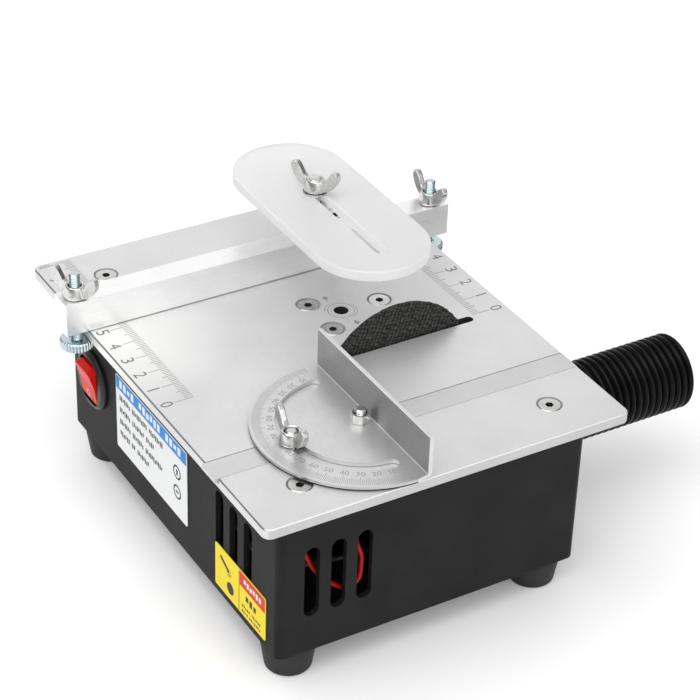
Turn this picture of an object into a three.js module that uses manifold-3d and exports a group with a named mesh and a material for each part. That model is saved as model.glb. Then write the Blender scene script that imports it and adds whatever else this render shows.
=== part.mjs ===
// Small bench saw with an aluminium table, a lifting abrasive disc, a sliding fence with a guard plate,
// a mitre gauge and a dust hose. Millimetres. X runs along the feed, Y from the front to the back, Z up.
// The model is drawn with its zero at the table top's front left corner, then moved so that the origin
// is under the middle of the whole object, on the surface that the feet stand on.
import * as THREE from "three";
import { mergeVertices } from "three/addons/utils/BufferGeometryUtils.js";
import Module from "manifold-3d";

const wasm = await Module();
wasm.setup();

// ---- driving dimensions ----
const GAP = 0.3;
const TABLE = { x: 139.5, y: 178.6, t: 3.85, corner: 3.2, edge: 0.45 };
const BODY = { x0: 10.2, x1: 129.3, y0: 9.7, y1: 168.9, top: -4.15, bottom: -64.4, wall: 2.2, corner: 3 };
const FOOT = { inset: 20.4, top: -64.7, bottom: -76, rTop: 9.6, rBottom: 7.6 };
const GROOVE = { y0: 31.6, y1: 41.6, depth: 1.9 };
const SLOT = { x0: 61.2, x1: 124.2, y: 74.7, width: 3.4 };
const BLADE = { x: 92.7, y: 74.7, z: -14.8, r: 30, t: 1.0 };
const LIFT = { x: 85.2, y: 100.8, hole: 2.65 };
const LIFT_SCREWS = [[76.7, 91.8], [76.7, 109.7], [101.2, 100.9]];
const TABLE_SCREWS = { inX: 21.6, inY: 17.1 };
const RODS = [[75.5, 100.8], [95.5, 108.6]];
const MOTOR = { x: 50, z: -28, r: 17.5, y0: 86.6, y1: 133.6, y2: 139 };
const PULLEY = { y0: 77.6, y1: 82.2, arbor: 7, motor: 5, belt: 1.2 };
const FENCE = { x0: -8.5, x1: 148, y0: 129.3, y1: 138.8, z0: 0.25, z1: 12.9 };
const CLAMP = { left: -2.7, right: 142.2, y: 134.05, headTop: -4.1, headT: 3.4, headR: 6.1, top: 22 };
const GUARD = {
  x: 92.7, y0: 73.9, y1: 173.5, half: 21.4, z0: 25.8, t: 4, slot0: 86, slot1: 136.6, slotHalf: 2.15,
};
const MITER = {
  x: 55.2, y: 36.6, r: 36.9, z0: 0.15, t: 1.5, fence: 15.7, halfLength: 36, fold: 4.2, nut: 5.8, bar0: -1.2,
};
const MITER_ARC = { r: 26, half: 2.25, sweep: 84 };
const HOSE = { x0: 127.6, x1: 203.5, y: 56, z: -35.6, r: 14.4, rRoot: 13.1, rIn: 12.2, pitch: 2.9 };
const SWITCH = { y: 149.5, z: -35, r: 11.6, hole: 10, tilt: 12.3, half: 6.4, paddle: 9 };
const VENTS = { left: [50.6, 40.6, 30.6], front: [22.7, 32.7, 42.6], w: 5.6, z0: -49.3, z1: -21.2 };
const JACK = { y: 25, z: -34 };
const LEAD = {
  r: 0.9,
  red: [[15.6, 118, -28.6], [15.6, 60, -28.4], [16.2, 26, -26.4], [20.2, 15.6, -24], [25.5, 14.2, -33.5],
    [33, 14.6, -43], [40.3, 13.8, -46], [43.4, 13.2, -36], [41.2, 13.8, -25.5], [45, 17, -19.5],
    [80, 20, -27], [106, 20.6, -32]],
  black: [[18.2, 118, -37.7], [18.2, 60, -39.7], [19.6, 24, -37.7], [26, 18, -34.7], [44, 17.8, -36.7],
    [80, 18, -37.3], [106, 20.6, -36]],
};
const THREAD = 2; // radius of every M4 screw
const FACETS = 0.56; // share of the nominal facet count that round bodies get
const ORIGIN = { x: 97, y: 89.15, z: 76 };

// ---- materials ----
const mat = (color, roughness, metalness, more = {}) =>
  new THREE.MeshStandardMaterial({ color, roughness, metalness, ...more });
const satinAluminium = mat(0xd6d7d8, 0.34, 1);
const brightAluminium = mat(0xe4e5e6, 0.22, 1);
const zinc = mat(0xc4d4da, 0.28, 1);
const nickel = mat(0xcfd0d0, 0.2, 1);
const steel = mat(0xb9babb, 0.32, 1);
const brass = mat(0xc9a24b, 0.3, 1);
const darkPlastic = mat(0x363635, 0.62, 0);
const blackPlastic = mat(0x1c1c1c, 0.4, 0);
const rubber = mat(0x2a2a2a, 0.8, 0);
const hosePlastic = mat(0x141415, 0.26, 0);
const abrasive = mat(0x333230, 0.92, 0);
const redPlastic = mat(0xd81a12, 0.3, 0);
const acrylic = mat(0xe8e8e8, 0.5, 0, { transparent: true, opacity: 0.72 });
const paper = mat(0xf4f4f2, 0.6, 0);
const yellowPaper = mat(0xf7e03a, 0.6, 0);
const redWire = mat(0xc22018, 0.45, 0);
const blackWire = mat(0x1a1a1a, 0.45, 0);

// ---- geometry helpers ----
// A three.js geometry as a manifold solid, turned the right way out.
function solid(geometry) {
  const bare = geometry.clone();
  bare.deleteAttribute("normal");
  bare.deleteAttribute("uv");
  const merged = mergeVertices(bare, 1e-4);
  const kept = [];
  const index = merged.index.array;
  for (let i = 0; i < index.length; i += 3) {
    const [a, b, c] = [index[i], index[i + 1], index[i + 2]];
    if (a !== b && b !== c && a !== c) kept.push(a, b, c);
  }
  const build = (triangles) =>
    new wasm.Manifold(
      new wasm.Mesh({
        numProp: 3,
        vertProperties: new Float32Array(merged.attributes.position.array),
        triVerts: new Uint32Array(triangles),
      }),
    );
  const made = build(kept);
  if (made.volume() > 0) return made;
  for (let i = 0; i < kept.length; i += 3) [kept[i + 1], kept[i + 2]] = [kept[i + 2], kept[i + 1]];
  return build(kept);
}

// A manifold solid as a named mesh.
function piece(name, body, material) {
  const m = body.getMesh();
  const geometry = new THREE.BufferGeometry();
  const points = new Float32Array(m.numVert * 3);
  for (let i = 0; i < m.numVert; i++)
    points.set(m.vertProperties.subarray(i * m.numProp, i * m.numProp + 3), i * 3);
  geometry.setAttribute("position", new THREE.BufferAttribute(points, 3));
  geometry.setIndex(new THREE.BufferAttribute(new Uint32Array(m.triVerts), 1));
  const flat = geometry.toNonIndexed();
  flat.computeVertexNormals();
  const mesh = new THREE.Mesh(flat, material);
  mesh.name = name;
  return mesh;
}

const facets = (n) => Math.max(8, 2 * Math.round((n * FACETS) / 2));
const join = (...bodies) => bodies.reduce((a, b) => a.add(b));
const cut = (body, ...tools) => tools.reduce((a, b) => a.subtract(b), body);

// Turns a geometry whose own axis is Z so that the axis is X or Y, and moves it.
function aim(geometry, axis, x, y, z) {
  if (axis === "x") geometry.rotateY(Math.PI / 2);
  if (axis === "y") geometry.rotateX(-Math.PI / 2);
  return geometry.translate(x, y, z);
}

const box = (x0, x1, y0, y1, z0, z1) =>
  solid(
    new THREE.BoxGeometry(x1 - x0, y1 - y0, z1 - z0).translate((x0 + x1) / 2, (y0 + y1) / 2, (z0 + z1) / 2),
  );

// A round bar from a to b along an axis, through (u, v) of the other two axes in X, Y, Z order.
function rod(axis, u, v, a, b, r, segments = 24) {
  const g = new THREE.CylinderGeometry(r, r, b - a, facets(segments));
  g.rotateX(Math.PI / 2).translate(0, 0, (a + b) / 2);
  if (axis === "z") return solid(aim(g, axis, u, v, 0));
  if (axis === "x") return solid(aim(g, axis, 0, u, v));
  return solid(aim(g, axis, u, 0, v));
}

// A turned body: profile of [radius, height] pairs; a profile off the axis closes on itself.
function turned(profile, axis, x, y, z, segments = 28) {
  const points = profile.map(([r, h]) => new THREE.Vector2(r, h));
  const open = profile[0][0] === 0;
  if (!open) points.push(points[0].clone());
  const g = new THREE.LatheGeometry(points, facets(segments)).rotateX(Math.PI / 2);
  return solid(aim(g, axis, x, y, z));
}

// A flat shape in X, Y raised from z0 to z1, with a chamfer of the given size on both rims.
function plate(shape, z0, z1, chamfer = 0, curveSegments = 10) {
  const g = new THREE.ExtrudeGeometry(shape, {
    depth: z1 - z0 - 2 * chamfer,
    bevelEnabled: chamfer > 0,
    bevelSegments: 1,
    bevelThickness: chamfer,
    bevelSize: chamfer,
    bevelOffset: -chamfer,
    curveSegments,
  });
  return solid(g.translate(0, 0, z0 + chamfer));
}

function roundedRectangle(x0, x1, y0, y1, r) {
  const s = new THREE.Shape();
  s.moveTo(x0 + r, y0);
  s.lineTo(x1 - r, y0);
  s.absarc(x1 - r, y0 + r, r, -Math.PI / 2, 0);
  s.lineTo(x1, y1 - r);
  s.absarc(x1 - r, y1 - r, r, 0, Math.PI / 2);
  s.lineTo(x0 + r, y1);
  s.absarc(x0 + r, y1 - r, r, Math.PI / 2, Math.PI);
  s.lineTo(x0, y0 + r);
  s.absarc(x0 + r, y0 + r, r, Math.PI, 1.5 * Math.PI);
  return s;
}

// A hexagon across flats, standing on Z.
function hexagon(x, y, z0, z1, flats) {
  const g = new THREE.CylinderGeometry(flats / Math.sqrt(3), flats / Math.sqrt(3), z1 - z0, 6);
  return solid(g.rotateX(Math.PI / 2).translate(x, y, (z0 + z1) / 2));
}

// ---- table ----
const corners = (inX, inY) => [
  ["front_left", inX, inY],
  ["front_right", TABLE.x - inX, inY],
  ["back_left", inX, TABLE.y - inY],
  ["back_right", TABLE.x - inX, TABLE.y - inY],
];

// The clearance for one countersunk screw.
const sink = (x, y) =>
  turned([[0, 0.5], [4.5, 0.5], [4.5, -0.75], [2.3, -2.95], [2.3, -5], [0, -5]], "z", x, y, 0, 32);

function tablePlate() {
  let body = plate(roundedRectangle(0, TABLE.x, 0, TABLE.y, TABLE.corner), -TABLE.t, 0, TABLE.edge, 6);
  body = cut(
    body,
    box(-1, TABLE.x + 1, GROOVE.y0, GROOVE.y1, -GROOVE.depth, 1),
    box(SLOT.x0 + 1.7, SLOT.x1 - 1.7, SLOT.y - SLOT.width / 2, SLOT.y + SLOT.width / 2, -6, 1),
    rod("z", SLOT.x0 + 1.7, SLOT.y, -6, 1, SLOT.width / 2),
    rod("z", SLOT.x1 - 1.7, SLOT.y, -6, 1, SLOT.width / 2),
    rod("z", LIFT.x, LIFT.y, -6, 1, LIFT.hole, 28),
  );
  for (const [x, y] of LIFT_SCREWS) body = cut(body, sink(x, y));
  for (const [, x, y] of corners(TABLE_SCREWS.inX, TABLE_SCREWS.inY)) body = cut(body, sink(x, y));
  return piece("table_plate", body, satinAluminium);
}

// A countersunk screw with a hexagon socket, its head just below the table top.
function sunkScrew(name, x, y, length) {
  const profile = [[0, -0.25], [4.0, -0.25], [4.1, -0.5], [1.9, -2.7], [1.9, -length], [0, -length]];
  const body = turned(profile, "z", x, y, 0, 28);
  return piece(name, cut(body, hexagon(x, y, -1.9, 1, 2.5)), nickel);
}

// ---- housing ----
function housing() {
  const B = BODY;
  const outer = plate(roundedRectangle(B.x0, B.x1, B.y0, B.y1, B.corner), B.bottom, B.top, 0, 6);
  const w = B.wall;
  const inside = roundedRectangle(B.x0 + w, B.x1 - w, B.y0 + w, B.y1 - w, 1);
  const inner = plate(inside, B.bottom - 1, B.top + 1, 0, 2);
  let body = cut(outer, inner);
  for (const [, x, y] of corners(18, 15.5)) {
    const sx = x < TABLE.x / 2 ? 1 : -1;
    const sy = y < TABLE.y / 2 ? 1 : -1;
    const xs = [x - sx * 7, x + sx * 8].sort((a, b) => a - b);
    const ys = [y - sy * 5, y + sy * 7.5].sort((a, b) => a - b);
    body = join(body, box(...xs, ...ys, -18.4, B.top), box(...xs, ...ys, -62.1, -51.5));
  }
  for (const [, x, y] of corners(TABLE_SCREWS.inX, TABLE_SCREWS.inY))
    body = cut(body, rod("z", x, y, -15, 0, 2.25, 16));
  for (const [, x, y] of corners(FOOT.inset, FOOT.inset)) body = cut(body, rod("z", x, y, -70, -53.5, 1.8, 16));
  const half = VENTS.w / 2;
  for (const y of VENTS.left)
    body = cut(
      body,
      box(B.x0 - 1, B.x0 + w + 1, y - half, y + half, VENTS.z0 + half, VENTS.z1 - half),
      rod("x", y, VENTS.z0 + half, B.x0 - 1, B.x0 + w + 1, half, 16),
      rod("x", y, VENTS.z1 - half, B.x0 - 1, B.x0 + w + 1, half, 16),
    );
  for (const x of VENTS.front)
    body = cut(
      body,
      box(x - half, x + half, B.y0 - 1, B.y0 + w + 1, VENTS.z0 + half, VENTS.z1 - half),
      rod("y", x, VENTS.z0 + half, B.y0 - 1, B.y0 + w + 1, half, 16),
      rod("y", x, VENTS.z1 - half, B.y0 - 1, B.y0 + w + 1, half, 16),
    );
  body = cut(
    body,
    rod("x", SWITCH.y, SWITCH.z, B.x0 - 1, B.x0 + w + 1, SWITCH.hole + 0.2, 32),
    rod("x", HOSE.y, HOSE.z, B.x1 - w - 1, B.x1 + 1, HOSE.r + 0.4, 32),
    rod("x", JACK.y, JACK.z, B.x1 - w - 1, B.x1 + 1, 4.2, 20),
  );
  return piece("housing", body, darkPlastic);
}

function bottomPlate() {
  const B = BODY;
  const i = B.wall + GAP;
  let body = plate(roundedRectangle(B.x0 + i, B.x1 - i, B.y0 + i, B.y1 - i, 0.8), B.bottom, B.bottom + 2, 0, 2);
  for (const [, x, y] of corners(FOOT.inset, FOOT.inset)) body = cut(body, rod("z", x, y, -70, -60, 2.1, 16));
  return piece("bottom_plate", body, darkPlastic);
}

function foot(name, x, y) {
  const F = FOOT;
  const profile = [
    [2.2, F.top], [F.rTop, F.top], [F.rTop, F.top - 1.2], [F.rBottom + 0.5, F.bottom], [4.4, F.bottom],
    [4.4, F.bottom + 5.5], [2.2, F.bottom + 5.5],
  ];
  return piece(name, turned(profile, "z", x, y, 0, 32), rubber);
}

function footScrew(name, x, y) {
  const z = FOOT.bottom + 5.2;
  const profile = [[0, z - 2.6], [3.4, z - 2.6], [3.8, z - 1.8], [3.8, z], [1.5, z], [1.5, z + 15], [0, z + 15]];
  const body = turned(profile, "z", x, y, 0, 20);
  const slots = [
    box(x - 2, x + 2, y - 0.4, y + 0.4, z - 3, z - 1.4),
    box(x - 0.4, x + 0.4, y - 2, y + 2, z - 3, z - 1.4),
  ];
  return piece(name, cut(body, ...slots), nickel);
}

// ---- switch, jack, leads, labels ----
function switchBody() {
  const S = SWITCH;
  const x = BODY.x0;
  const ring = turned(
    [[0, x - 0.15], [S.r, x - 0.15], [S.r, x - 1.2], [S.r - 1.2, x - 2.3], [0, x - 2.3]],
    "x", 0, S.y, S.z, 40,
  );
  const can = rod("x", S.y, S.z, x - 0.5, x + 14, S.hole - 0.2, 32);
  const tab = (z) => box(x + 13, x + 20, S.y - 2.4, S.y + 2.4, z - 0.4, z + 0.4);
  const tabs = [tab(S.z - 4.5), tab(S.z + 4.5)];
  const well = box(x - 4, x + 9, S.y - S.half - 0.35, S.y + S.half + 0.35, S.z - 8.9, S.z + 8.9)
    .intersect(rod("x", S.y, S.z, x - 5, x + 10, S.paddle + 0.8, 40));
  return piece("switch_body", cut(join(ring, can, ...tabs), well), blackPlastic);
}

// The rocker turns about a line along Y; its upper end stands out and its lower end is pressed in.
function rocker() {
  const S = SWITCH;
  const s = new THREE.Shape();
  // first coordinate: outward distance from the housing's face; second: height from the pivot
  const half = [[3.2, 0], [3.9, 7.9], [1.0, 8.2], [-2.5, 6.2]];
  s.moveTo(...half[0]);
  for (const [out, up] of half.slice(1)) s.lineTo(out, up);
  s.lineTo(-4, 0);
  for (const [out, up] of half.slice(1).reverse()) s.lineTo(out, -up);
  s.closePath();
  const g = new THREE.ExtrudeGeometry(s, {
    depth: 2 * S.half - 0.8, bevelEnabled: true, bevelThickness: 0.4, bevelSize: 0.3, bevelOffset: -0.3,
    bevelSegments: 1,
  }).translate(0, 0, 0.4 - S.half);
  const paddle = solid(g).intersect(rod("x", 0, 0, -6, 6, S.paddle, 40)).rotate([0, 0, -S.tilt]);
  const placed = paddle.rotate([90, 0, 0]).rotate([0, 0, 180]).translate([BODY.x0, S.y, S.z]);
  return piece("rocker", placed, redPlastic);
}

function dcJack() {
  const x = BODY.x1;
  const body = join(
    rod("x", JACK.y, JACK.z, x - 12, x + 3.2, 3.9, 24),
    hexX(x + 0.3, x + 2.6, JACK.y, JACK.z, 11),
    rod("x", JACK.y, JACK.z, x - 5.5, x - 2.5, 5.4, 24),
  );
  return piece("dc_jack", cut(body, rod("x", JACK.y, JACK.z, x - 7, x + 4, 2.8, 20)), blackPlastic);
}

function hexX(x0, x1, y, z, flats) {
  const g = new THREE.CylinderGeometry(flats / Math.sqrt(3), flats / Math.sqrt(3), x1 - x0, 6);
  return solid(g.rotateZ(Math.PI / 2).translate((x0 + x1) / 2, y, z));
}

// An insulated lead between the switch and the jack, by way of the points given.
function lead(name, dz, way, material) {
  const S = SWITCH;
  const x = BODY.x0;
  const points = [
    [x + 20.6, S.y, S.z + dz], [x + 24, S.y - 2, S.z + dz], [x + 20, S.y - 14, S.z + dz * 0.6], ...way,
    [BODY.x1 - 12.9, JACK.y + dz * 0.3, JACK.z + dz * 0.3],
  ].map((p) => new THREE.Vector3(...p));
  const ring = new THREE.Shape();
  ring.absarc(0, 0, LEAD.r, 0, 2 * Math.PI);
  const path = new THREE.CatmullRomCurve3(points, false, "centripetal");
  const g = new THREE.ExtrudeGeometry(ring, { steps: 64, extrudePath: path, curveSegments: 3 });
  return piece(name, solid(g), material);
}

const label = (name, y0, y1, z0, z1, material) =>
  piece(name, box(BODY.x0 - 0.38, BODY.x0 - 0.08, y0, y1, z0, z1), material);

// ---- dust hose ----
function hoseCollar() {
  const H = HOSE;
  const x = BODY.x1;
  const profile = [
    [H.r + 0.4, x + 0.15], [H.r + 4, x + 0.15], [H.r + 4, x + 1.4], [H.r + 2, x + 2.4], [H.r + 1.6, x + 5],
    [H.r + 0.4, x + 5],
  ];
  return piece("hose_collar", turned(profile, "x", 0, H.y, H.z, 36), blackPlastic);
}

function dustHose() {
  const H = HOSE;
  const ribs = Math.floor((H.x1 - H.x0) / H.pitch);
  const pitch = (H.x1 - H.x0) / ribs;
  const profile = [];
  for (let i = 0; i < ribs; i++) {
    profile.push([H.rRoot, H.x0 + i * pitch]);
    profile.push([H.r, H.x0 + (i + 0.5) * pitch]);
  }
  profile.push([H.rRoot, H.x1], [H.rIn, H.x1], [H.rIn, H.x0]);
  return piece("dust_hose", turned(profile, "x", 0, H.y, H.z, 30), hosePlastic);
}

// ---- lift ----
function liftFlange() {
  const top = BODY.top;
  const ears = join(
    box(70.5, 107, 96.3, 105.5, top - 4, top),
    box(70.5, 84, 88.2, 113.4, top - 4, top),
    box(84, 99.5, 96.3, 113.4, top - 4, top),
  );
  let body = ears;
  for (const [x, y] of LIFT_SCREWS) body = cut(body, rod("z", x, y, -12, 0, 2.2, 16));
  for (const [x, y] of RODS) body = cut(body, rod("z", x, y, top - 4.5, top - 0.9, 2.3, 16));
  const wide = rod("z", LIFT.x, LIFT.y, top - 2.3, top + 1, 4.2, 24);
  body = cut(body, wide, rod("z", LIFT.x, LIFT.y, -12, 0, 2.4, 16));
  return piece("lift_flange", body, steel);
}

const guideRod = (name, x, y) =>
  piece(name, rod("z", x, y, -58, BODY.top - 1.2, THREAD, 20), steel);

function liftScrew() {
  const z = BODY.top - 0.2;
  const profile = [[0, z], [3.8, z], [3.8, z - 1.8], [THREAD, z - 1.8], [THREAD, -57], [0, -57]];
  const body = cut(turned(profile, "z", LIFT.x, LIFT.y, 0, 24), hexagon(LIFT.x, LIFT.y, z - 1.4, z + 1, 2.5));
  return piece("lift_screw", body, zinc);
}

function liftNut() {
  const body = rod("z", LIFT.x, LIFT.y, -38, -12.2, 3.9, 24);
  return piece("lift_nut", cut(body, rod("z", LIFT.x, LIFT.y, -40, -10, THREAD + 0.3, 20)), brass);
}

// The carriage that holds the arbor's bearing and the motor, and slides on the two rods.
function carriage() {
  let body = join(
    box(84, 101.4, 83.4, 96.6, -24, -8.8),
    box(70.3, 100.5, 96.3, 113.4, -38, -12),
    box(30, 90, 83.4, 86.4, -45.6, -9.6),
  );
  body = cut(
    body,
    rod("y", BLADE.x, BLADE.z, 80, 100, 5.0, 24),
    rod("y", MOTOR.x, MOTOR.z, 80, 90, 4.6, 24),
    rod("z", LIFT.x, LIFT.y, -45, -5, 4.2, 24),
  );
  for (const [x, y] of RODS) body = cut(body, rod("z", x, y, -45, -5, THREAD + 0.3, 20));
  return piece("carriage", body, steel);
}

function arborBearing() {
  const B = BLADE;
  const profile = [[2.9, 83.6], [4.7, 83.6], [4.7, 96.4], [2.9, 96.4]];
  return piece("arbor_bearing", turned(profile, "y", B.x, 0, B.z, 24), nickel);
}

function arbor() {
  const B = BLADE;
  const profile = [[0, 68], [2.1, 68], [2.5, 68.5], [2.5, 97.4], [4.2, 97.4], [4.2, 98.4], [0, 98.4]];
  return piece("arbor", turned(profile, "y", B.x, 0, B.z, 20), steel);
}

const washer = (name, r, y0, y1, material, bore = 2.8) =>
  piece(name, turned([[bore, y0], [r, y0], [r, y1], [bore, y1]], "y", BLADE.x, 0, BLADE.z, 28), material);

function arborPulley() {
  const P = PULLEY;
  const r = P.arbor;
  const profile = [[2.8, P.y0], [r + 1.4, P.y0], [r + 1.4, P.y0 + 0.4], [r - 0.2, P.y0 + 0.4],
    [r - 0.2, P.y1 - 0.4], [r + 1.4, P.y1 - 0.4], [r + 1.4, P.y1], [2.8, P.y1]];
  return piece("arbor_pulley", turned(profile, "y", BLADE.x, 0, BLADE.z, 28), satinAluminium);
}

function arborNut() {
  const B = BLADE;
  const g = new THREE.CylinderGeometry(4.6, 4.6, 3.4, 6).translate(B.x, 71.2, B.z);
  return piece("arbor_nut", cut(solid(g), rod("y", B.x, B.z, 60, 80, 2.8, 20)), nickel);
}

// The abrasive disc: its rim is slightly uneven.
function blade() {
  const B = BLADE;
  const s = new THREE.Shape();
  const teeth = 90;
  for (let i = 0; i <= teeth; i++) {
    const a = (i / teeth) * 2 * Math.PI;
    const r = B.r - 0.16 * (1 + Math.sin(7 * a) * Math.cos(23 * a));
    if (i === 0) s.moveTo(r, 0);
    else if (i < teeth) s.lineTo(r * Math.cos(a), r * Math.sin(a));
  }
  s.closePath();
  const bore = new THREE.Path();
  bore.absarc(0, 0, 2.8, 0, 2 * Math.PI, true);
  s.holes.push(bore);
  const g = new THREE.ExtrudeGeometry(s, { depth: B.t, bevelEnabled: false, curveSegments: 10 });
  g.rotateX(Math.PI / 2).translate(B.x, B.y + B.t / 2, B.z);
  return piece("blade", solid(g), abrasive);
}

// ---- motor and belt ----
function motorCan() {
  const M = MOTOR;
  const profile = [[2.2, M.y0], [M.r, M.y0], [M.r, M.y1], [2.2, M.y1]];
  const body = join(
    turned(profile, "y", M.x, 0, M.z, 36),
    turned([[2.2, M.y0 - 2.4], [4.3, M.y0 - 2.4], [4.3, M.y0 + 1], [2.2, M.y0 + 1]], "y", M.x, 0, M.z, 24),
  );
  return piece("motor_can", body, zinc);
}

function motorCap() {
  const M = MOTOR;
  const body = join(
    turned(
      [[0, M.y1 + 0.3], [M.r - 0.8, M.y1 + 0.3], [M.r - 0.8, M.y2 - 1.4], [M.r - 3, M.y2], [0, M.y2]],
      "y", M.x, 0, M.z, 32,
    ),
    box(M.x - 10.5, M.x - 7.5, M.y2 - 1, M.y2 + 4, M.z - 0.4, M.z + 0.4),
    box(M.x + 7.5, M.x + 10.5, M.y2 - 1, M.y2 + 4, M.z - 0.4, M.z + 0.4),
  );
  return piece("motor_cap", body, blackPlastic);
}

// The motor's shaft with the small pulley pressed on it.
function motorShaft() {
  const M = MOTOR;
  const P = PULLEY;
  const r = P.motor;
  const profile = [[0, P.y0 - 1.2], [1.5, P.y0 - 1.2], [1.5, P.y0], [r + 1.2, P.y0], [r + 1.2, P.y0 + 0.4],
    [r - 0.2, P.y0 + 0.4], [r - 0.2, P.y1 - 0.4], [r + 1.2, P.y1 - 0.4], [r + 1.2, P.y1], [1.7, P.y1],
    [1.7, M.y1 - 0.4], [0, M.y1 - 0.4]];
  return piece("motor_shaft", turned(profile, "y", M.x, 0, M.z, 24), steel);
}

// A loop round two circles, as a shape in X and Z.
function loopPath(Kind, ra, rb) {
  const [ax, az, bx, bz] = [MOTOR.x, MOTOR.z, BLADE.x, BLADE.z];
  const along = Math.atan2(bz - az, bx - ax);
  const lean = Math.asin((rb - ra) / Math.hypot(bx - ax, bz - az));
  const p = new Kind();
  const arc = (cx, cz, r, from, to) => {
    for (let i = 0; i <= 14; i++) {
      const a = from + ((to - from) * i) / 14;
      const [u, v] = [cx + r * Math.cos(a), cz + r * Math.sin(a)];
      if (i === 0 && p.curves.length === 0 && p.currentPoint.lengthSq() === 0) p.moveTo(u, v);
      else p.lineTo(u, v);
    }
  };
  const h = Math.PI / 2;
  arc(bx, bz, rb, along - h - lean, along + h + lean);
  arc(ax, az, ra, along + h + lean, along + 3 * h - lean);
  p.closePath();
  return p;
}

function driveBelt() {
  const P = PULLEY;
  const outer = loopPath(THREE.Shape, P.motor + P.belt, P.arbor + P.belt);
  outer.holes.push(loopPath(THREE.Path, P.motor + 0.1, P.arbor + 0.1));
  const g = new THREE.ExtrudeGeometry(outer, { depth: P.y1 - P.y0 - 1.6, bevelEnabled: false });
  return piece("drive_belt", solid(g.rotateX(Math.PI / 2).translate(0, P.y1 - 0.8, 0)), rubber);
}

// ---- clamp screws and wing nuts ----
// A screw standing on its knurled head.
function knurledScrew(name, x, y, headTop, headT, headR, top) {
  const s = new THREE.Shape();
  const teeth = 30;
  for (let i = 0; i < 2 * teeth; i++) {
    const a = (i / teeth) * Math.PI;
    const r = headR - (i % 2 ? 0.32 : 0);
    if (i === 0) s.moveTo(r, 0);
    else s.lineTo(r * Math.cos(a), r * Math.sin(a));
  }
  s.closePath();
  const head = new THREE.ExtrudeGeometry(s, { depth: headT, bevelEnabled: false });
  head.translate(x, y, headTop - headT);
  const profile = [[0, headTop - 1], [THREAD, headTop - 1], [THREAD, top - 0.5], [1.5, top], [0, top]];
  const shank = turned(profile, "z", x, y, 0, 24);
  return piece(name, join(solid(head), shank), zinc);
}

// A cast wing nut standing on z, its wings turned by an angle about its axis.
function wingNut(name, x, y, z, angle) {
  const hub = turned(
    [[THREAD + 0.3, 0], [4.2, 0], [4.35, 0.6], [3.9, 2.4], [3.3, 4.6], [THREAD + 0.3, 4.6]], "z", 0, 0, 0, 26,
  );
  const wing = new THREE.Shape();
  wing.moveTo(2.9, 0.5);
  wing.lineTo(4.6, 0.5);
  wing.quadraticCurveTo(8.2, 2.0, 10.1, 6.2);
  wing.quadraticCurveTo(10.7, 9.2, 8.8, 9.6);
  wing.quadraticCurveTo(6.9, 9.7, 5.7, 7.2);
  wing.quadraticCurveTo(4.6, 4.9, 2.9, 4.2);
  wing.closePath();
  const g = new THREE.ExtrudeGeometry(wing, {
    depth: 2.2, bevelEnabled: false, curveSegments: 3,
  }).translate(0, 0, -1.1);
  g.rotateX(Math.PI / 2);
  const one = solid(g);
  const other = solid(g.clone().rotateZ(Math.PI));
  const body = cut(join(hub, one, other), rod("z", 0, 0, -1, 12, THREAD + 0.3, 26));
  const made = piece(name, body, nickel);
  made.rotation.z = (angle * Math.PI) / 180;
  made.position.set(x, y, z);
  return made;
}

// ---- fence and guard ----
function fenceBar() {
  const F = FENCE;
  const shape = roundedRectangle(F.x0, F.x1, F.y0, F.y1, 0.3);
  let body = plate(shape, F.z0, F.z1, 0.25, 1);
  for (const x of [CLAMP.left, CLAMP.right]) body = cut(body, rod("z", x, CLAMP.y, -1, 14, THREAD + 0.3, 24));
  body = cut(body, rod("z", GUARD.x, CLAMP.y, 5, 14, THREAD + 0.3, 24));
  return piece("fence_bar", body, brightAluminium);
}

// A plain M4 screw end that stands up from z0 to top, with a small point.
function stud(x, y, z0, top) {
  const profile = [[0, z0], [THREAD, z0], [THREAD, top - 0.4], [1.6, top], [0, top]];
  return turned(profile, "z", x, y, 0, 24);
}

function guardStud() {
  const top = GUARD.z0 + GUARD.t + 3.9;
  return piece("guard_stud", stud(GUARD.x, CLAMP.y, 5.4, top), zinc);
}

function guardSpacer() {
  const [z0, z1] = [FENCE.z1 + 0.15, GUARD.z0 - 0.15];
  const p = [[THREAD + 0.3, z0], [4.5, z0], [4.5, z1], [THREAD + 0.3, z1]];
  return piece("guard_spacer", turned(p, "z", GUARD.x, CLAMP.y, 0, 28), nickel);
}

function guardWasher() {
  const z = GUARD.z0 + GUARD.t;
  const p = [[THREAD + 0.3, z + 0.1], [4.6, z + 0.1], [4.6, z + 0.8], [THREAD + 0.3, z + 0.8]];
  return piece("guard_washer", turned(p, "z", GUARD.x, CLAMP.y, 0, 28), nickel);
}

function stadium(x, y0, y1, r, Kind = THREE.Shape) {
  const s = new Kind();
  s.moveTo(x + r, y0 + r);
  s.lineTo(x + r, y1 - r);
  s.absarc(x, y1 - r, r, 0, Math.PI);
  s.lineTo(x - r, y0 + r);
  s.absarc(x, y0 + r, r, Math.PI, 2 * Math.PI);
  return s;
}

function guardPlate() {
  const G = GUARD;
  const outer = plate(stadium(G.x, G.y0, G.y1, G.half), G.z0, G.z0 + G.t, 0.3, 14);
  const slot = plate(stadium(G.x, G.slot0, G.slot1, G.slotHalf), G.z0 - 1, G.z0 + G.t + 1, 0, 8);
  return piece("guard_plate", cut(outer, slot), acrylic);
}

// ---- mitre gauge ----
function miterBar() {
  const M = MITER;
  let body = box(M.bar0, TABLE.x, GROOVE.y0 + 0.25, GROOVE.y1 - 0.25, -GROOVE.depth + 0.15, -0.12);
  for (const x of [M.x, M.x - MITER_ARC.r]) body = cut(body, rod("z", x, M.y, -5, 2, THREAD + 0.3, 20));
  return piece("miter_bar", body, satinAluminium);
}

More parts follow.
